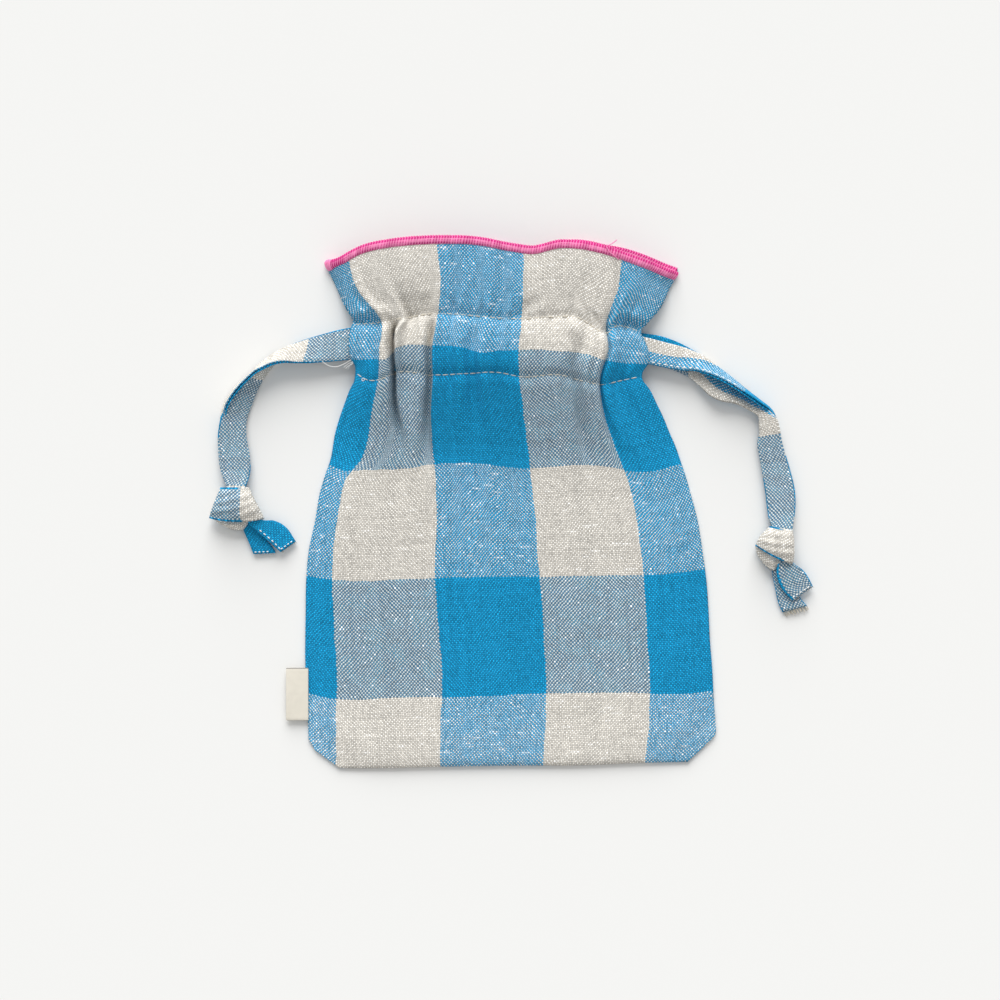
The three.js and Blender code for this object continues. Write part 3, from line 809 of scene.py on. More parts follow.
for side, body in drawstrings.items():
    turn = knotTurn(side + "KnotTurn", knots[side + "Turn"])
    underTurn = knotTurn(side + "KnotUnderTurn", knots[side + "UnderTurn"])
    dress(turn, body, "tape_linen", side + "_knot")
    dress(underTurn, body, "tape_linen")
    ends = []
    for layer, node in (("Upper", "front"), ("Lower", "back")):
        rails, cloth = tails[side + layer]["rails"], tails[side + layer]["cloth"]
        tail = tapePiece(side + layer + "Tail", rails, cloth, tails["rings"], tails["thickness"])[0]
        dress(tail, body, "tape_linen", f"{side}_{node}_tail")
        ends.append(tail)
    for layer, node in (("Front", "front"), ("Back", "back")):
        cord = cords[side + layer]
        dress(cord["piece"], body, "tape_linen", f"{side}_{node}_free_tape")
        onIt = [turn, underTurn] + ends if layer == "Back" else []
print("drawstrings made")


# The front of the pouch: one sheet from the bottom seam to the mouth, gathered at the casing

frontSheet = {
    "columns": 176,
    "rows": 216,
    "thickness": 0.5,
    "width": 173.0,
    "length": 222.0,
    "baseY": -111.7,
    # seams and lines between the warp stripes: place on the flat cloth, then where each lies on the pouch,
    # as height and place across
    "warpLines": (
        (0.0, ((-112, -81.0), (-96, -81.3), (-83, -81.9), (-70.8, -82.5), (-45.6, -82.4), (-33, -82.2),
               (-20, -81.0), (-7.8, -78.4), (4.8, -76.2), (11.1, -74.3), (17.4, -72.1), (30, -69.7),
               (36.3, -67.6), (42.6, -65.1), (46.8, -63.4), (50, -61.9), (54, -61.2), (57.8, -61.6),
               (60.2, -63.2), (63, -63.8), (70, -63.7), (73.5, -62.9), (76, -62.1), (79, -63.6),
               (83.8, -66.2), (90.5, -69.4), (97.2, -72.8), (112, -79.0))),
        (15.1, ((-112, -69.6), (-91.8, -69.6), (-75, -69.1), (-58.2, -70.1), (-41.4, -71.0), (-24.6, -71.0),
                (-7.8, -69.0), (4, -67.0), (9.4, -65.4), (13.9, -62.2), (17.3, -59.4), (25.8, -56.3),
                (38.4, -54.2), (52.1, -51.2), (63, -50.8), (75, -50.0), (89, -60.4), (108, -64.5),
                (112, -65.0))),
        (58.0, ((-112, -26.1), (-91.8, -25.7), (-75, -25.1), (-58.2, -26.1), (-41.4, -27.4), (-24.6, -28.1),
                (-7.8, -27.2), (9, -27.8), (25.8, -29.0), (38.4, -29.4), (52.1, -28.6), (63, -28.8),
                (75, -27.1), (89, -25.6), (108, -26.9), (112, -27.0))),
        (102.5, ((-112, 17.3), (-91.8, 18.3), (-75, 18.4), (-58.2, 17.6), (-41.4, 16.7), (-24.6, 15.1),
                 (-7.8, 14.0), (9, 12.2), (25.8, 10.4), (38.4, 8.8), (52.1, 7.1), (63, 6.9), (75, 8.0),
                 (89, 8.8), (112, 8.8))),
        (145.4, ((-112, 60.6), (-91.8, 62.4), (-75, 62.5), (-58.2, 61.6), (-41.4, 60.8), (-24.6, 59.2),
                 (-7.8, 57.2), (9, 53.3), (25.8, 47.0), (38.4, 43.0), (52.1, 41.6), (63, 44.9), (75, 44.1),
                 (89, 48.7), (108, 50.8), (112, 51.2))),
        (173.0, ((-112, 90.8), (-96, 90.7), (-83.4, 89.8), (-70.8, 89.2), (-58.2, 88.2), (-45.6, 87.6),
                 (-33, 86.7), (-20.4, 85.0), (-7.8, 83.0), (4.8, 79.7), (11.1, 77.9), (17.4, 75.8),
                 (23.7, 73.6), (30, 70.8), (36.3, 68.0), (40.8, 65.6), (47, 62.4), (52.1, 59.3),
                 (54.3, 59.5), (58.3, 62.0), (62.2, 62.2), (67.8, 60.4), (71.8, 58.9), (74, 60.7),
                 (77, 63.4), (80.4, 66.1), (83.8, 68.3), (90.5, 71.5), (94, 73.6), (97.2, 75.4),
                 (112, 81.0))),
    ),
    # bottom edge, lines between the weft stripes, rows of stitches and mouth: place along the flat cloth,
    # then the line each follows on the pouch
    "weftLines": (
        (0.0, ((-82, -111.7), (-63, -112.4), (-50, -112.3), (-25, -111.7), (10, -111.2), (30, -111.2),
               (55, -110.2), (91, -109.5))),
        (31.3, ((-82, -80.6), (-74, -82.2), (-67, -83.0), (-42, -82.1), (-17, -82.0), (8, -80.9),
                (33, -80.2), (59, -80.4), (72, -80.8), (90, -79.6))),
        (79.6, ((-82, -31.4), (-67, -33.0), (-42, -32.6), (-17, -31.7), (20, -31.3), (46, -30.9),
                (71, -30.3), (87, -28.2))),
        (127.9, ((-73, 16.6), (-67, 14.1), (-60, 13.9), (-48, 14.5), (-42, 14.6), (-30, 16.5), (-8, 16.7),
                 (8, 14.9), (20, 15.3), (33, 16.2), (46, 15.2), (58, 13.2), (68, 14.6), (77, 17.2))),
        (165.5, ((-61, 54.2), (-56, 51.0), (-50, 51.3), (-44, 54.0), (-28, 52.9), (-13, 53.6), (-1, 54.0),
                 (8, 52.2), (25, 52.9), (36, 50.0), (42, 49.0), (50, 50.8), (60, 52.9))),
        (176.2, ((-63, 59.4), (-51, 59.4), (-47.6, 59.5), (-46.2, 61.0), (-44.6, 63.4), (-43, 64.2),
                 (-29, 65.0), (-18, 64.4), (-7, 62.0), (-2, 62.8), (6, 62.9), (12, 63.3), (20, 62.8),
                 (31, 62.2), (44, 58.9), (50, 58.0), (60, 57.8))),
        (189.5, ((-63, 74.4), (-50, 75.2), (-40, 77.0), (-28, 78.7), (-17, 78.2), (-5, 77.0), (8, 76.4),
                 (22, 77.2), (33, 76.6), (38, 73.5), (44, 70.4), (48, 73.6), (53, 73.4), (59, 71.0))),
        (222.0, ((-75, 100.4), (-66.6, 102.9), (-59.8, 106.2), (-47, 109.2), (-40, 110.0), (-25, 110.7),
                 (-10, 110.2), (5, 107.5), (13, 106.5), (25, 109.0), (36, 108.1), (44.3, 106.2),
                 (51.6, 103.9), (57.3, 102.0), (62.9, 100.2), (68.5, 98.2), (75.4, 96.2))),
    ),
    "lowerRow": 165.5,
    "upperRow": 189.5,
    # height of the middle of the cloth
    "crown": ((-112, 1.4), (-111, 2.3), (-109, 2.8), (-104, 3.2), (-92, 3.7), (-76, 4.3), (-60, 4.8),
              (-20, 5.5), (4, 5.8), (14, 6.1), (22, 6.9), (31, 8.7), (43, 11.7), (52, 13.8), (60, 14.5),
              (68, 14.4), (77, 13.8), (90, 14.1), (102, 14.3), (112, 13.6)),
    # broad hollows below the casing: place on the flat cloth, width, depth
    "hollows": ((41, 9, 2.6), (161, 9, 2.2)),
    # boxed corners: points on the cut and the direction out of the cloth there
    "corners": ((-79.9, -102.3, -0.846, -0.533), (-73.8, -108.2, -0.593, -0.806),
                (85.5, -103.4, 0.69, -0.72), (90.4, -97.9, 0.926, -0.379)),
    # deep folds: place on the flat cloth and how far it moves lower down, share of the cloth taken up on the
    # left and the right, width of the left and the right wall, depth, lowest and highest ends
    "folds": (
        {"at": 28.4, "leans": 0.20, "takes": (0.74, 0.93), "walls": (5.4, 2.4),
         "depth": 8.0, "fades": (16, 46), "ends": (70, 77)},
        {"at": 55.6, "leans": 0.0, "takes": (0.60, 0.90), "walls": (5.0, 2.0),
         "depth": 5.6, "fades": (8, 44), "ends": (68, 79)},
        {"at": 145.5, "leans": 0.0, "takes": (0.80, 0.80), "walls": (3.8, 3.8),
         "depth": 1.8, "fades": (12, 46), "ends": (73, 82)},
        {"at": 127.0, "leans": 0.05, "takes": (0.66, 0.50), "walls": (3.4, 3.6),
         "depth": 3.6, "fades": (4, 44), "ends": (60, 74)},
        {"at": 80.0, "leans": 0.0, "takes": (0.35, 0.35), "walls": (3.7, 3.7),
         "depth": 1.5, "fades": (18, 52), "ends": (66, 76)},
    ),
    # gathers too fine to show, between the lines
    "hidden": (28.4, 55.0, 68.0, 81.0, 95.0, 127.0, 143.5),
    # creases of the frill and the casing: from the end where they fade, to the other, width, depth
    "creases": (
        (-44.2, 87.0, -38.5, 77.5, 2.2, 1.4), (-49.5, 84.0, -45.0, 77.0, 1.8, -1.1),
        (-31.9, 88.0, -32.4, 79.5, 2.4, 1.3), (-51.5, 74.6, -61.5, 75.6, 1.5, 1.9),
        (-22.0, 86.0, -19.0, 79.5, 2.0, 0.9), (-8.0, 84.0, -6.5, 78.0, 1.8, 0.8),
        (18.0, 87.0, 8.3, 79.1, 2.6, 1.2), (24.6, 94.0, 29.0, 79.0, 2.6, 0.9),
        (35.0, 81.5, 43.0, 72.0, 1.8, 1.5), (48.5, 75.2, 58.5, 73.4, 1.5, 1.2),
        (37.0, 32.0, 34.0, 58.0, 2.2, -1.1), (-56.0, 80.0, -53.5, 76.0, 1.5, 0.9),
    ),
    "foldLevel": 62,        # a fold lies at its place on the flat cloth here
    "seam": {"height": 1.3, "atCasing": 6.9, "raised": ((24, 54), (75, 95)), "power": 6},
    "innerPower": 8,        # the relief dies out at the seams
    "cutSlope": (-1, 14),
    "ripples": ((0.7, 46, 1.5), (0.3, 19, 4.5)),        # height, size and seed
    "ripplesFrom": (0, 20),
    # beside a fold: share of the fold's depth, then in widths of its wall
    "lip": {"share": 0.22, "at": 1.8, "width": 0.8},
    "takeWidth": 1.6,       # of what a fold takes up, in widths of its wall
    "leastShown": 0.04,
    "hollowEnds": ((26, 54), (77, 94)),
    # waves of two lengths, which sway and swell with noise: how much, size and seed
    "gathers": {"height": 0.8, "long": 13.7, "short": 7.9, "shortShare": 0.45, "shortStart": 1.3,
                "sway": (2.2, 60, 8.5), "swell": (0.6, 30, 2.5), "level": 0.7,
                "fades": (8, 50), "frill": (78, 106), "frillLoss": 0.65},
    "gatherWidth": 1.6,
    "casingHeight": 1.2,
    "casingPower": 0.8,
    "puckers": {"pitch": 5.3, "depth": 0.9, "uneven": 0.4, "besideExit": 1.2, "width": 1.8, "spread": 0.45,
                "reach": 6, "sway": 0.8, "swayLength": 11},
    "besideExits": (0.74, 0.84),                        # share of the half width
    "fullness": {"height": 1.9, "above": 5, "width": 2.6},
    "creaseFade": 0.7,                                  # share of a crease's length
}


def foldStrength(fold, y):
    return between(y, fold["fades"], fold["ends"])


def fromFold(fold, s, y):  # distance from a fold, in widths of its wall
    aside = s - fold["at"] - fold["leans"] * (frontSheet["foldLevel"] - y)
    return aside / np.where(aside < 0, *fold["walls"])


# Where each column lies on the flat cloth. The yarns keep their spacing: spare cloth between two lines is
# hidden in a few gathers, and beside the seams it is cut away at a slant.
def onFlatCloth(places, across, lines, gathers):
    steps = np.linalg.norm(np.diff(places, axis=1), axis=-1)
    middles = (across[1:] + across[:-1]) / 2
    marks = [np.argmin(abs(across - at)) for at in lines[1:-1]]
    flat = np.empty(places.shape[:2])

    def fromRight(shown):
        return np.cumsum(shown[:, ::-1], axis=1)[:, ::-1]

    for left, right in zip(marks, marks[1:]):
        cloth = across[right] - across[left]
        shown = steps[:, left:right]
        shown = shown * np.minimum(1, cloth / shown.sum(axis=1, keepdims=True))
        share = sum(bell(middles[left:right] - at, frontSheet["gatherWidth"]) for at in gathers)
        shown = shown + (cloth - shown.sum(axis=1, keepdims=True)) * share / share.sum()
        flat[:, left:right] = across[right] - fromRight(shown)
    first, last = marks[0], marks[-1]
    flat[:, last] = across[last]
    flat[:, :first] = across[first] - fromRight(steps[:, :first])
    flat[:, last + 1:] = across[last] + np.cumsum(steps[:, last:], axis=1)
    return flat


def frontShape(sheet):
    across = np.linspace(0, sheet["width"], sheet["columns"] + 1)
    along = np.linspace(0, sheet["length"], sheet["rows"] + 1)
    s, v = np.meshgrid(across, along)
    y0 = y = sheet["baseY"] + v
    u = 2 * s / sheet["width"] - 1
    stripes = [at for at, line in sheet["warpLines"]]
    levels = [at for at, line in sheet["weftLines"]]

    # cloth is taken up in the folds, and the lines between the stripes stay where they lie; the second time
    # round starts from the heights that the first found
    for again in range(2):
        density = np.ones_like(s)
        for fold in sheet["folds"]:
            aside = fromFold(fold, s, y)
            taken = np.where(aside < 0, *fold["takes"]) * bell(aside, sheet["takeWidth"])
            density -= taken * foldStrength(fold, y)
        density = np.maximum(density, sheet["leastShown"])
        middles = (density[:, 1:] + density[:, :-1]) / 2
        used = np.concatenate([np.zeros((len(along), 1)), np.cumsum(middles, axis=1)], 1)
        x = np.empty_like(s)
        for row in range(len(along)):
            marks = np.interp(stripes, across, used[row])
            heights = np.interp(stripes, across, y[row])
            lies = [throughPoints(h, *zip(*line)) for h, (at, line) in zip(heights, sheet["warpLines"])]
            x[row] = throughPoints(used[row], marks, lies)
        lies = []
        for at, line in sheet["weftLines"]:
            lies.append(throughPoints(x[np.argmin(abs(along - at))], *zip(*line)))
        y = throughTable(along, levels, lies)

    # height: a flat crown over the body, higher at the casing, down to the seams at the sides
    seam = sheet["seam"]
    atSeam = mix(seam["height"], seam["atCasing"], between(y, *seam["raised"]))
    z = mix(throughPoints(y0, *zip(*sheet["crown"])), atSeam, abs(u) ** seam["power"])
    inner = 1 - abs(u) ** sheet["innerPower"]
    uneven = sum(height * ripple(s, v, size, seed) for height, size, seed in sheet["ripples"])
    z += inner * ease(v, *sheet["ripplesFrom"]) * uneven
    for px, py, nx, ny in sheet["corners"]:
        fromCut = -((x - px) * nx + (y - py) * ny)
        z = mix(seam["height"], z, np.sqrt(ease(fromCut, *sheet["cutSlope"])))

    # gathers: folds with a lip on each side, hollows and waves
    lip, gather = sheet["lip"], sheet["gathers"]
    for fold in sheet["folds"]:
        depth = fold["depth"] * foldStrength(fold, y)
        aside = fromFold(fold, s, y)
        z += depth * (lip["share"] * bell(abs(aside) - lip["at"], lip["width"]) - bell(aside, 1))
    for at, width, depth in sheet["hollows"]:
        z -= depth * between(y0, *sheet["hollowEnds"]) * bell(s - at, width)
    strength = ease(y0, *gather["fades"]) * (1 - gather["frillLoss"] * ease(y0, *gather["frill"]))
    phase = 2 * np.pi * s
    sway, swell = [much * ripple(s, v, size, seed) for much, size, seed in (gather["sway"], gather["swell"])]
    wave = np.sin(phase / gather["long"] + sway)
    wave += gather["shortShare"] * np.sin(phase / gather["short"] + gather["shortStart"])
    z += inner * strength * gather["height"] * wave * (gather["level"] + swell)

    # the tape that fills the casing, puckers at the stitches, and the frill's fullness beside the exits
    lower, upper = sheet["lowerRow"], sheet["upperRow"]
    filled = np.sin(np.pi * np.clip((v - lower) / (upper - lower), 0, 1)) ** sheet["casingPower"]
    z += sheet["casingHeight"] * filled * inner
    pucker, besideExit = sheet["puckers"], ease(abs(u), *sheet["besideExits"])
    for row in (lower, upper):
        dent = pucker["depth"] + pucker["uneven"] * np.sin(phase / pucker["pitch"])
        if row == upper:
            dent = dent + pucker["besideExit"] * besideExit
        z -= inner * bell(v - row, pucker["width"]) * dent
        spread = np.sin(phase / pucker["pitch"] + pucker["sway"] * np.sin(s / pucker["swayLength"]))
        z += inner * pucker["spread"] * bell(v - row, pucker["reach"]) * spread
    full = sheet["fullness"]
    z += full["height"] * inner * besideExit * bell(v - upper - full["above"], full["width"])
    for x0, yLow, x1, yHigh, width, depth in sheet["creases"]:
        run = np.array([x1 - x0, yHigh - yLow])
        t = np.clip(((x - x0) * run[0] + (y - yLow) * run[1]) / (run @ run), 0, 1)
        gap = np.hypot(x - x0 - t * run[0], y - yLow - t * run[1])
        z -= depth * ease(t, 0, sheet["creaseFade"]) * bell(gap, width)
    places = np.stack([x, y, z], -1)
    return places, np.stack([onFlatCloth(places, across, stripes, sheet["hidden"]), v], -1)


frontPlaces, frontMap = frontShape(frontSheet)


def trimCorners(piece):
    bm = bmesh.new()
    bm.from_mesh(piece.data)
    for px, py, nx, ny in frontSheet["corners"]:
        parts = list(bm.verts) + list(bm.edges) + list(bm.faces)
        bmesh.ops.bisect_plane(bm, geom=parts, plane_co=(px * mm, py * mm, 0), plane_no=(nx, ny, 0),
                               clear_outer=True)
    bm.to_mesh(piece.data)
    bm.free()


pouchFront = gridPiece("pouchFront", frontPlaces, frontMap, checkedLinen)
trimCorners(pouchFront)
thicken(pouchFront, frontSheet["thickness"])


# The back lies flat, and its edges meet the front at the seams

backSheet = {
    "columns": 80,
    "rows": 100,
    "thickness": 0.5,
    "lift": 0.6,
    "belowFront": 0.4,                  # at the seams
    "exits": ((48, 54), (75, 81)),      # the sides stay down where the tapes go through
    "exitLift": 0.3,
    "rim": {"power": 16, "bottom": 5},  # how narrow the turned-up sides and bottom are
    "mouth": (200, 222),
    # how far the mouth shows past the front's, by place across
    "peek": ((14, 0), (25, 1.0), (36, 1.4), (44, 1.5), (51.6, 2.6), (57.3, 2.9), (62.9, 2.6), (68.5, 2.2),
             (76, 1.6)),
}


def backShape(sheet):
    rows = np.linspace(0, frontSheet["rows"], sheet["rows"] + 1).round().astype(int)
    columns = np.linspace(0, frontSheet["columns"], sheet["columns"] + 1).round().astype(int)
    places = frontPlaces[np.ix_(rows, columns)].copy()
    flat = frontMap[np.ix_(rows, columns)].copy()
    u = np.broadcast_to(columns / frontSheet["columns"], flat.shape[:2])
    v = flat[..., 1]
    places[..., 0] = mix(places[:, :1, 0], places[:, -1:, 0], u)
    places[..., 1] += ease(v, *sheet["mouth"]) * throughPoints(places[..., 0], *zip(*sheet["peek"]))
    # the sides come up to the seams of the front
    atExit = between(places[..., 1], *sheet["exits"])
    seam = mix(places[:, :1, 2], places[:, -1:, 2], u) - sheet["belowFront"]
    rim = np.maximum(abs(2 * u - 1) ** sheet["rim"]["power"], ease(v, sheet["rim"]["bottom"], 0))
    places[..., 2] = mix(sheet["lift"], mix(seam, sheet["lift"] + sheet["exitLift"], atExit), rim)
    return places, flat


backPlaces, backMap = backShape(backSheet)
pouchBack = gridPiece("pouchBack", backPlaces, backMap, checkedLinen)
trimCorners(pouchBack)
thicken(pouchBack, backSheet["thickness"])

# the frill lifts, and its sides stay in the seams, so the cloth turns where it is high above the back
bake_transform(pouchFront)
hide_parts("front_panel", "front_frill")
dress(pouchBack, "pouch", "checked_linen", "back_panel", "left_side_seam", "right_side_seam",
      "left_corner_seam", "right_corner_seam", "bottom_seam", "left_frill_seam", "right_frill_seam")
print("front and back of the pouch made")


# Overlocked edging along the mouth: one flattened roll with a swelling for each turn of the thread

edging = {
    "reach": 2.05,          # half its height
    "thick": 1.15,
    "stepsPerTurn": 6,
    "around": 16,
    "lean": 0.4,
    "over": 1.40,           # how far its middle lies below the cloth's edge
    "tooth": (0.12, 0.10),  # depth between the turns, and how much deeper on the very top
    "turnPower": 0.8,
    "roundEnd": 0.7,
    "endSize": 0.05,
    "onFront": -0.25,       # upwards from the cloth's edge
    "onBack": 0.75,
    # the knob at the start and the loose turns after it: how much fuller, where and how wide
    "fuller": ((0.26, 2.2, 1.8), (-0.10, 8, 3)),
}


def edgingPiece(name, edge, below, lift):
    turn = overlock["turn"]
    edge, below = edge + [0, 0, lift], below + [0, 0, lift]
    along = lengthAlong(edge)
    steps = np.linspace(0, along[-1], int(along[-1] / (turn / edging["stepsPerTurn"])) + 1)
    line = throughTable(steps, along, edge)
    down = unit(throughTable(steps, along, below) - line)
    out = unit(np.cross(down, unit(np.gradient(line, axis=0))))
    nearEnd = np.minimum(steps, steps[-1] - steps)
    fullness = np.sqrt(np.clip(nearEnd / edging["roundEnd"], edging["endSize"], 1))
    fullness = fullness * (1 + sum(more * bell(steps - at, width) for more, at, width in edging["fuller"]))
    points, places = [], []
    for angle in np.linspace(0, 2 * math.pi, edging["around"] + 1):
        c, k = math.cos(angle), math.sin(angle)
        tooth = edging["tooth"][0] + edging["tooth"][1] * max(c, 0)
        turns = abs(np.sin(math.pi * (steps + edging["lean"] * (1 - c)) / turn)) ** edging["turnPower"]
        swell = fullness * (1 - tooth * (1 - turns))
        reach = (edging["over"] - edging["reach"] * c * swell)[:, None]
        points.append(line + down * reach + out * (edging["thick"] * k * swell)[:, None])
        places.append(np.stack([steps, np.full_like(steps, edging["reach"] * (1 - c))], -1))
    return gridPiece(name, np.stack(points, 1), np.stack(places, 1), pinkOverlock, tube=True)


frontEdging = edgingPiece("frontEdging", frontPlaces[-1], frontPlaces[-5], edging["onFront"])
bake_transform(frontEdging)
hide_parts("front_mouth_edging")
backEdging = edgingPiece("backEdging", backPlaces[-1], backPlaces[-3], edging["onBack"])
dress(backEdging, "pouch", "edging_thread", "back_mouth_edging")
print("edging made")


# Casing: a strip on the inside of the front and one on the back, and the tapes that run through

casing = {
    "halfLength": 40.75,
    "rows": (53.1, 76.0),
    "cells": (60, 24),
    "thickness": 0.4,
    "slope": (0.6, 3.2),            # from the stitched edges to the height of the channel
    "ripple": (0.12, 9, 3.5),
    "tapeThickness": 1.0,
    "tapeRings": 120,
    "runPoints": 12,
    "bend": (0.35, 2.8, 7),         # first and last angle of the turn, and how many points
    "onCloth": 100,
    "front": {"strip": 4.5, "edges": 5.0, "tape": 5.6},
    "back": {"strip": 2.85, "edges": 1.3, "tape": 1.75},
    "inner": {
        "left": {"side": -1, "rows": (64.9, 74.1)},
        "right": {"side": 1, "rows": (55.0, 64.2)},
    },
    "turn": 55.4,
    "easing": 7.0,       # an inner tape spreads to the free tape's width over this length
    "overlap": 1.2,      # of an inner tape inside the free tape
    "inside": 0.3,
}


def casingStrip(name, spec):
    low, high = casing["rows"]
    columns, rows = casing["cells"]
    xs = np.linspace(-casing["halfLength"], casing["halfLength"], columns + 1)
    x, y = np.meshgrid(xs, np.linspace(low, high, rows + 1))
    raised = ease(np.minimum(y - low, high - y), *casing["slope"])
    height, size, seed = casing["ripple"]
    z = mix(spec["edges"], spec["strip"], raised) + height * ripple(x, y, size, seed)
    piece = gridPiece(name, np.stack([x, y, z], -1), np.stack([x + casing["onCloth"], y], -1), naturalLinen)
    thicken(piece, casing["thickness"], 0)
    return piece


def innerTape(side, spec):
    out = spec["side"]
    low, high = spec["rows"]
    front, back = casing["front"]["tape"], casing["back"]["tape"]
    deep, middle = (front - back) / 2, (front + back) / 2

    def joined(layer):
        x, yHigh, zHigh, _, yLow, zLow = tapes[side + layer][0]
        x += out * casing["overlap"]
        return x, yHigh - casing["inside"], zHigh, x, yLow + casing["inside"], zLow

    near, far = -out * casing["turn"], tapes[side + "Front"][0][0] - out * casing["easing"]
    run, bend = np.linspace(far, near, casing["runPoints"]), np.linspace(*casing["bend"])
    line = [(x, front) for x in run]
    line += [(near - out * deep * math.sin(a), middle + deep * math.cos(a)) for a in bend]
    line += [(x, back) for x in reversed(run)]
    rails = [joined("Front")] + [(x, high, z, x, low, z) for x, z in line] + [joined("Back")]
    cloth = tapeCloth[side + "Front"]
    # the stripes run on from the free tape, so they are mirrored
    mirrored = 2 * linen["weftStart"] + linen["weftStripe"] - cloth["starts"]
    cloth = {**cloth, "starts": mirrored, "split": cloth["split"][:1], "gape": ((0, 0),)}
    return tapePiece(side + "InnerTape", rails, cloth, casing["tapeRings"], casing["tapeThickness"])[0]


for layer in ("front", "back"):
    strip = casingStrip(layer + "CasingStrip", casing[layer])
    dress(strip, "pouch", "natural_linen", layer + "_casing_strip")
for side, spec in casing["inner"].items():
    tape = innerTape(side, spec)
    dress(tape, side + "_drawstring", "tape_linen", side + "_front_inner_tape", side + "_back_inner_tape",
          side + "_tape_turn")
print("casing made")


# Label: a short length of tape folded into the left seam

def makeLabel(setup):
    bm = bmesh.new()
    size = [setup[k][1] - setup[k][0] for k in "xyz"]
    centre = [sum(setup[k]) / 2 for k in "xyz"]
    place = Matrix.Translation(Vector(centre) * mm) @ Matrix.Diagonal((*[s * mm for s in size], 1))
    bmesh.ops.create_cube(bm, size=1, matrix=place)
    for axis, cuts in enumerate(setup["cuts"]):
        least = size[axis] * mm / 2
        runs = [e for e in bm.edges if abs(e.verts[0].co[axis] - e.verts[1].co[axis]) > least]
        bmesh.ops.subdivide_edges(bm, edges=runs, cuts=cuts, use_grid_fill=True)
    rim = [e for e in bm.edges if e.calc_face_angle(0) > 1.0]
    bmesh.ops.bevel(bm, geom=rim, offset=setup["rim"] * mm, offset_type="OFFSET", affect="EDGES", segments=3,
                    profile=0.5, material=-1)
    for v in bm.verts:
        bow = math.sin(math.pi * (v.co.y / mm - setup["y"][0]) / size[1])
        v.co.z += setup["bow"] * mm * bow * (setup["x"][1] - v.co.x / mm) / size[0]
    return newPiece("sideLabel", bm, labelTape)


sideLabel = makeLabel(label)
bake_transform(sideLabel)
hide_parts("side_label")
print("label made")


# Stitches and thread ends

def stitchPiece(name, spots, material):
    bm = bmesh.new()
    for place, heading, up, length, width in spots:
        forward = Vector(heading).normalized()
        side = Vector(up).cross(forward).normalized()
        turned = Matrix((forward, side, forward.cross(side))).transposed().to_4x4()
        size = Matrix.Diagonal((length * mm / 2, width * mm / 2, width * mm / 2, 1))
        bmesh.ops.create_uvsphere(bm, u_segments=8, v_segments=6, radius=1,
                                  matrix=Matrix.Translation(Vector(place) * mm) @ turned @ size)
    return newPiece(name, bm, material)


rowStitch = {
    "start": 0.4,
    "length": 2.7,
    "gap": 0.5,
    "width": 0.44,
    "lift": 0.08,
}


def surfaceRow(level):  # a line of places along the front at one level of the cloth
    row = level / frontSheet["length"] * frontSheet["rows"]
    low = int(row)
    return mix(frontPlaces[low], frontPlaces[low + 1], row - low)[1:-1]


def rowOfStitches(name, level):
    line = surfaceRow(level)
    along = lengthAlong(line)
    length = rowStitch["length"]
    spots = []
    for at in np.arange(rowStitch["start"], along[-1] - length, length + rowStitch["gap"]):
        start, end = alongLine(at, along, line), alongLine(at + length, along, line)
        middle = (start + end) / 2 + [0, 0, rowStitch["lift"]]
        spots.append((middle, end - start, (0, 0, 1), length, rowStitch["width"]))
    return stitchPiece(name, spots, naturalThread)


for row in ("lowerRow", "upperRow"):
    dress(rowOfStitches(row + "Stitches", frontSheet[row]), "pouch", "natural_linen")


# dashes on the upper face of a tape, from one share of its length and place across it to another
def tapeStitches(name, rows):
    spots = []
    for rails, (startShare, startAcross), (endShare, endAcross), count in rows:
        centre, half, normal = followRails(rails, tapes["rings"])
        shares = np.linspace(0, 1, len(centre))

        def onTape(t):
            share, across = mix(startShare, endShare, t), mix(startAcross, endAcross, t)
            c, h, n = [alongLine(share, shares, part) for part in (centre, half, normal)]
            return c + h * across + n * (tapes["thickness"] / 2 + tapeThread["lift"]), n

        for i in range(count):
            start, up = onTape(i / count)
            end = onTape((i + tapeThread["dash"]) / count)[0]
            length = np.linalg.norm(end - start)
            spots.append(((start + end) / 2, end - start, up, length, tapeThread["width"]))
    return stitchPiece(name, spots, whiteThread)


tapeThread = {
    "dash": 0.6,
    "width": 0.55,
    "lift": 0.04,
    "left": (
        (tails["leftUpper"]["rails"], (0.36, 0.74), (0.98, 0.78), 6),
        (tails["leftUpper"]["rails"], (0.95, 0.75), (0.95, -0.85), 4),
        (tails["leftLower"]["rails"], (0.95, 0.85), (0.95, -0.6), 4),
    ),
    "right": (
        (tapes["rightFront"], (0.03, 0.80), (0.40, 0.80), 15),
        (tails["rightUpper"]["rails"], (0.94, 0.85), (0.94, -0.85), 5),
    ),
}


# threads as fine round tubes along a few points
def threadPiece(name, threads, radius, material):
    bm = bmesh.new()
    aslant = [0.13, 0.21, 1.0]      # along none of the threads
    for thread in threads:
        along = lengthAlong(np.array(thread, float))
        line = throughTable(np.linspace(0, along[-1], 4 * len(thread)), along, thread)
        tangent = unit(np.gradient(line, axis=0))
        side = unit(np.cross(tangent, aslant))
        up = np.cross(side, tangent)
        rings = len(line) - 1
        for v in bmesh.ops.create_grid(bm, x_segments=6, y_segments=rings, size=0.5)["verts"]:
            ring, angle = round((v.co.y + 0.5) * rings), 2 * math.pi * (v.co.x + 0.5)
            outward = side[ring] * math.cos(angle) + up[ring] * math.sin(angle)
            v.co = Vector((line[ring] + radius * outward) * mm)
    closeTubes(bm)
    return newPiece(name, bm, material)


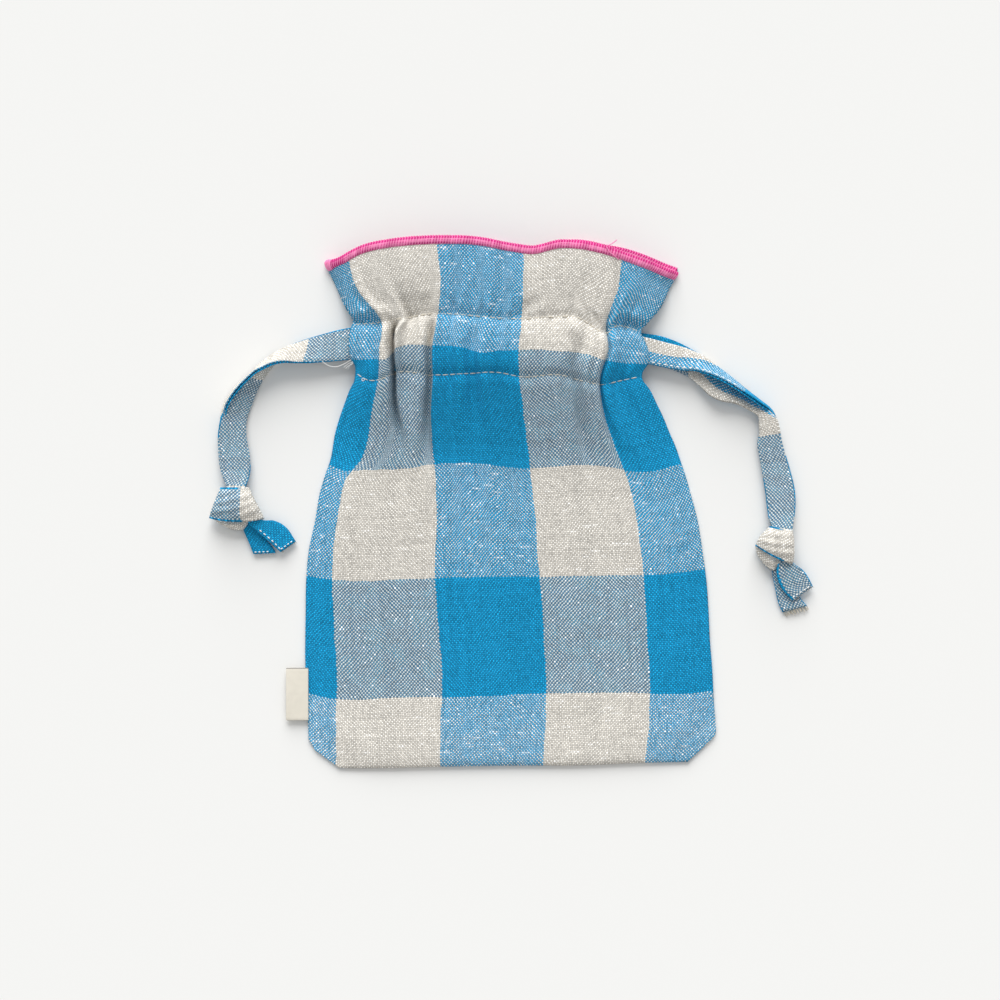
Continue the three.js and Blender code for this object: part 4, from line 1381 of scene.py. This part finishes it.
fray = {
    "radius": 0.14,
    "lowest": 0.25,
    "rooted": 0.4,      # inside the tape
    "across": 0.95,     # of the half width
    "left": {"leftUpper": (12, 0.9), "leftLower": (9, 0.7)},      # threads and their length at each raw end
    "right": {"rightUpper": (12, 0.8), "rightLower": (26, 2.6)},
}


def frayedEnds(name, ends, seed):
    dice = random.Random(seed)
    threads = []
    for tail, (count, length) in ends.items():
        centre, half, normal = followRails(tails[tail]["rails"], tails["rings"])
        forward = unit(centre[-1] - centre[-2])
        for i in range(count):
            across = mix(-fray["across"], fray["across"], (i + dice.uniform(-0.4, 0.4)) / (count - 1))
            start = centre[-1] + half[-1] * across - forward * fray["rooted"]
            start = start + normal[-1] * dice.uniform(-0.5, 0.7) * tails["thickness"] / 2
            tip = start + forward * (fray["rooted"] + length * dice.uniform(0.5, 1.0))
            tip = tip + unit(half[-1]) * dice.uniform(-0.6, 0.6)
            start[2] = max(start[2], fray["lowest"])
            tip[2] = max(tip[2] - dice.uniform(0, 0.5), fray["lowest"])
            threads.append((start, (start + tip) / 2 + [0, 0, dice.uniform(0, 0.2)], tip))
    return threadPiece(name, threads, fray["radius"], naturalThread)


for seed, (side, body) in enumerate(drawstrings.items()):
    dress(tapeStitches(side + "TapeStitches", tapeThread[side]), body, "natural_linen")
    dress(frayedEnds(side + "FrayedEnds", fray[side], 11 + seed), body, "natural_linen")


def onFront(x, y, lift):
    nearest = np.hypot(frontPlaces[..., 0] - x, frontPlaces[..., 1] - y).argmin()
    return x, y, frontPlaces[..., 2].flat[nearest] + lift


looseThreads = {
    "radius": 0.13,
    "pinkRadius": 0.195,
    "atExit": (
        ((-74.9, 58.9, 7.3), (-72.8, 57.4, 6.7), (-69.3, 56.7, 6.5), (-65.8, 57.9, 7.0), (-62.9, 59.6, 7.6)),
        ((-62.2, 58.8, 7.4), (-64.6, 57.6, 7.0), (-66.1, 56.3, 6.5)),
        ((-62.0, 58.0, 7.4), (-64.0, 57.0, 7.0), (-65.3, 55.9, 6.6)),
        ((-62.0, 58.4, 7.5), (-63.5, 57.1, 7.0), (-64.1, 55.7, 6.6)),
    ),
    "ring": {"x": -57.7, "y": 51.2, "radius": 0.55, "lift": 0.2},
    # last number: height above the cloth
    "pinkEnd": (
        ((44.0, 106.4, 1.2), (45.2, 104.1, 1.4), (47.2, 102.6, 1.0), (49.2, 101.0, 0.4)),
        ((44.0, 106.6, 1.2), (46.2, 107.6, 1.1), (48.3, 109.2, 0.6)),
    ),
}

ring = looseThreads["ring"]
loop = []
for angle in np.linspace(0, 2 * math.pi, 11):
    x = ring["x"] + ring["radius"] * math.cos(angle)
    y = ring["y"] + ring["radius"] * math.sin(angle)
    loop.append(onFront(x, y, ring["lift"]))
exitThreads = threadPiece("exitThreads", [*looseThreads["atExit"], loop], looseThreads["radius"], whiteThread)
dress(exitThreads, "pouch", "natural_linen")
pinkEnds = [[onFront(*point) for point in thread] for thread in looseThreads["pinkEnd"]]
edgingEnd = threadPiece("edgingThreadEnd", pinkEnds, looseThreads["pinkRadius"], pinkThread)
dress(edgingEnd, "front_frill", "edging_thread")
print("stitches made")
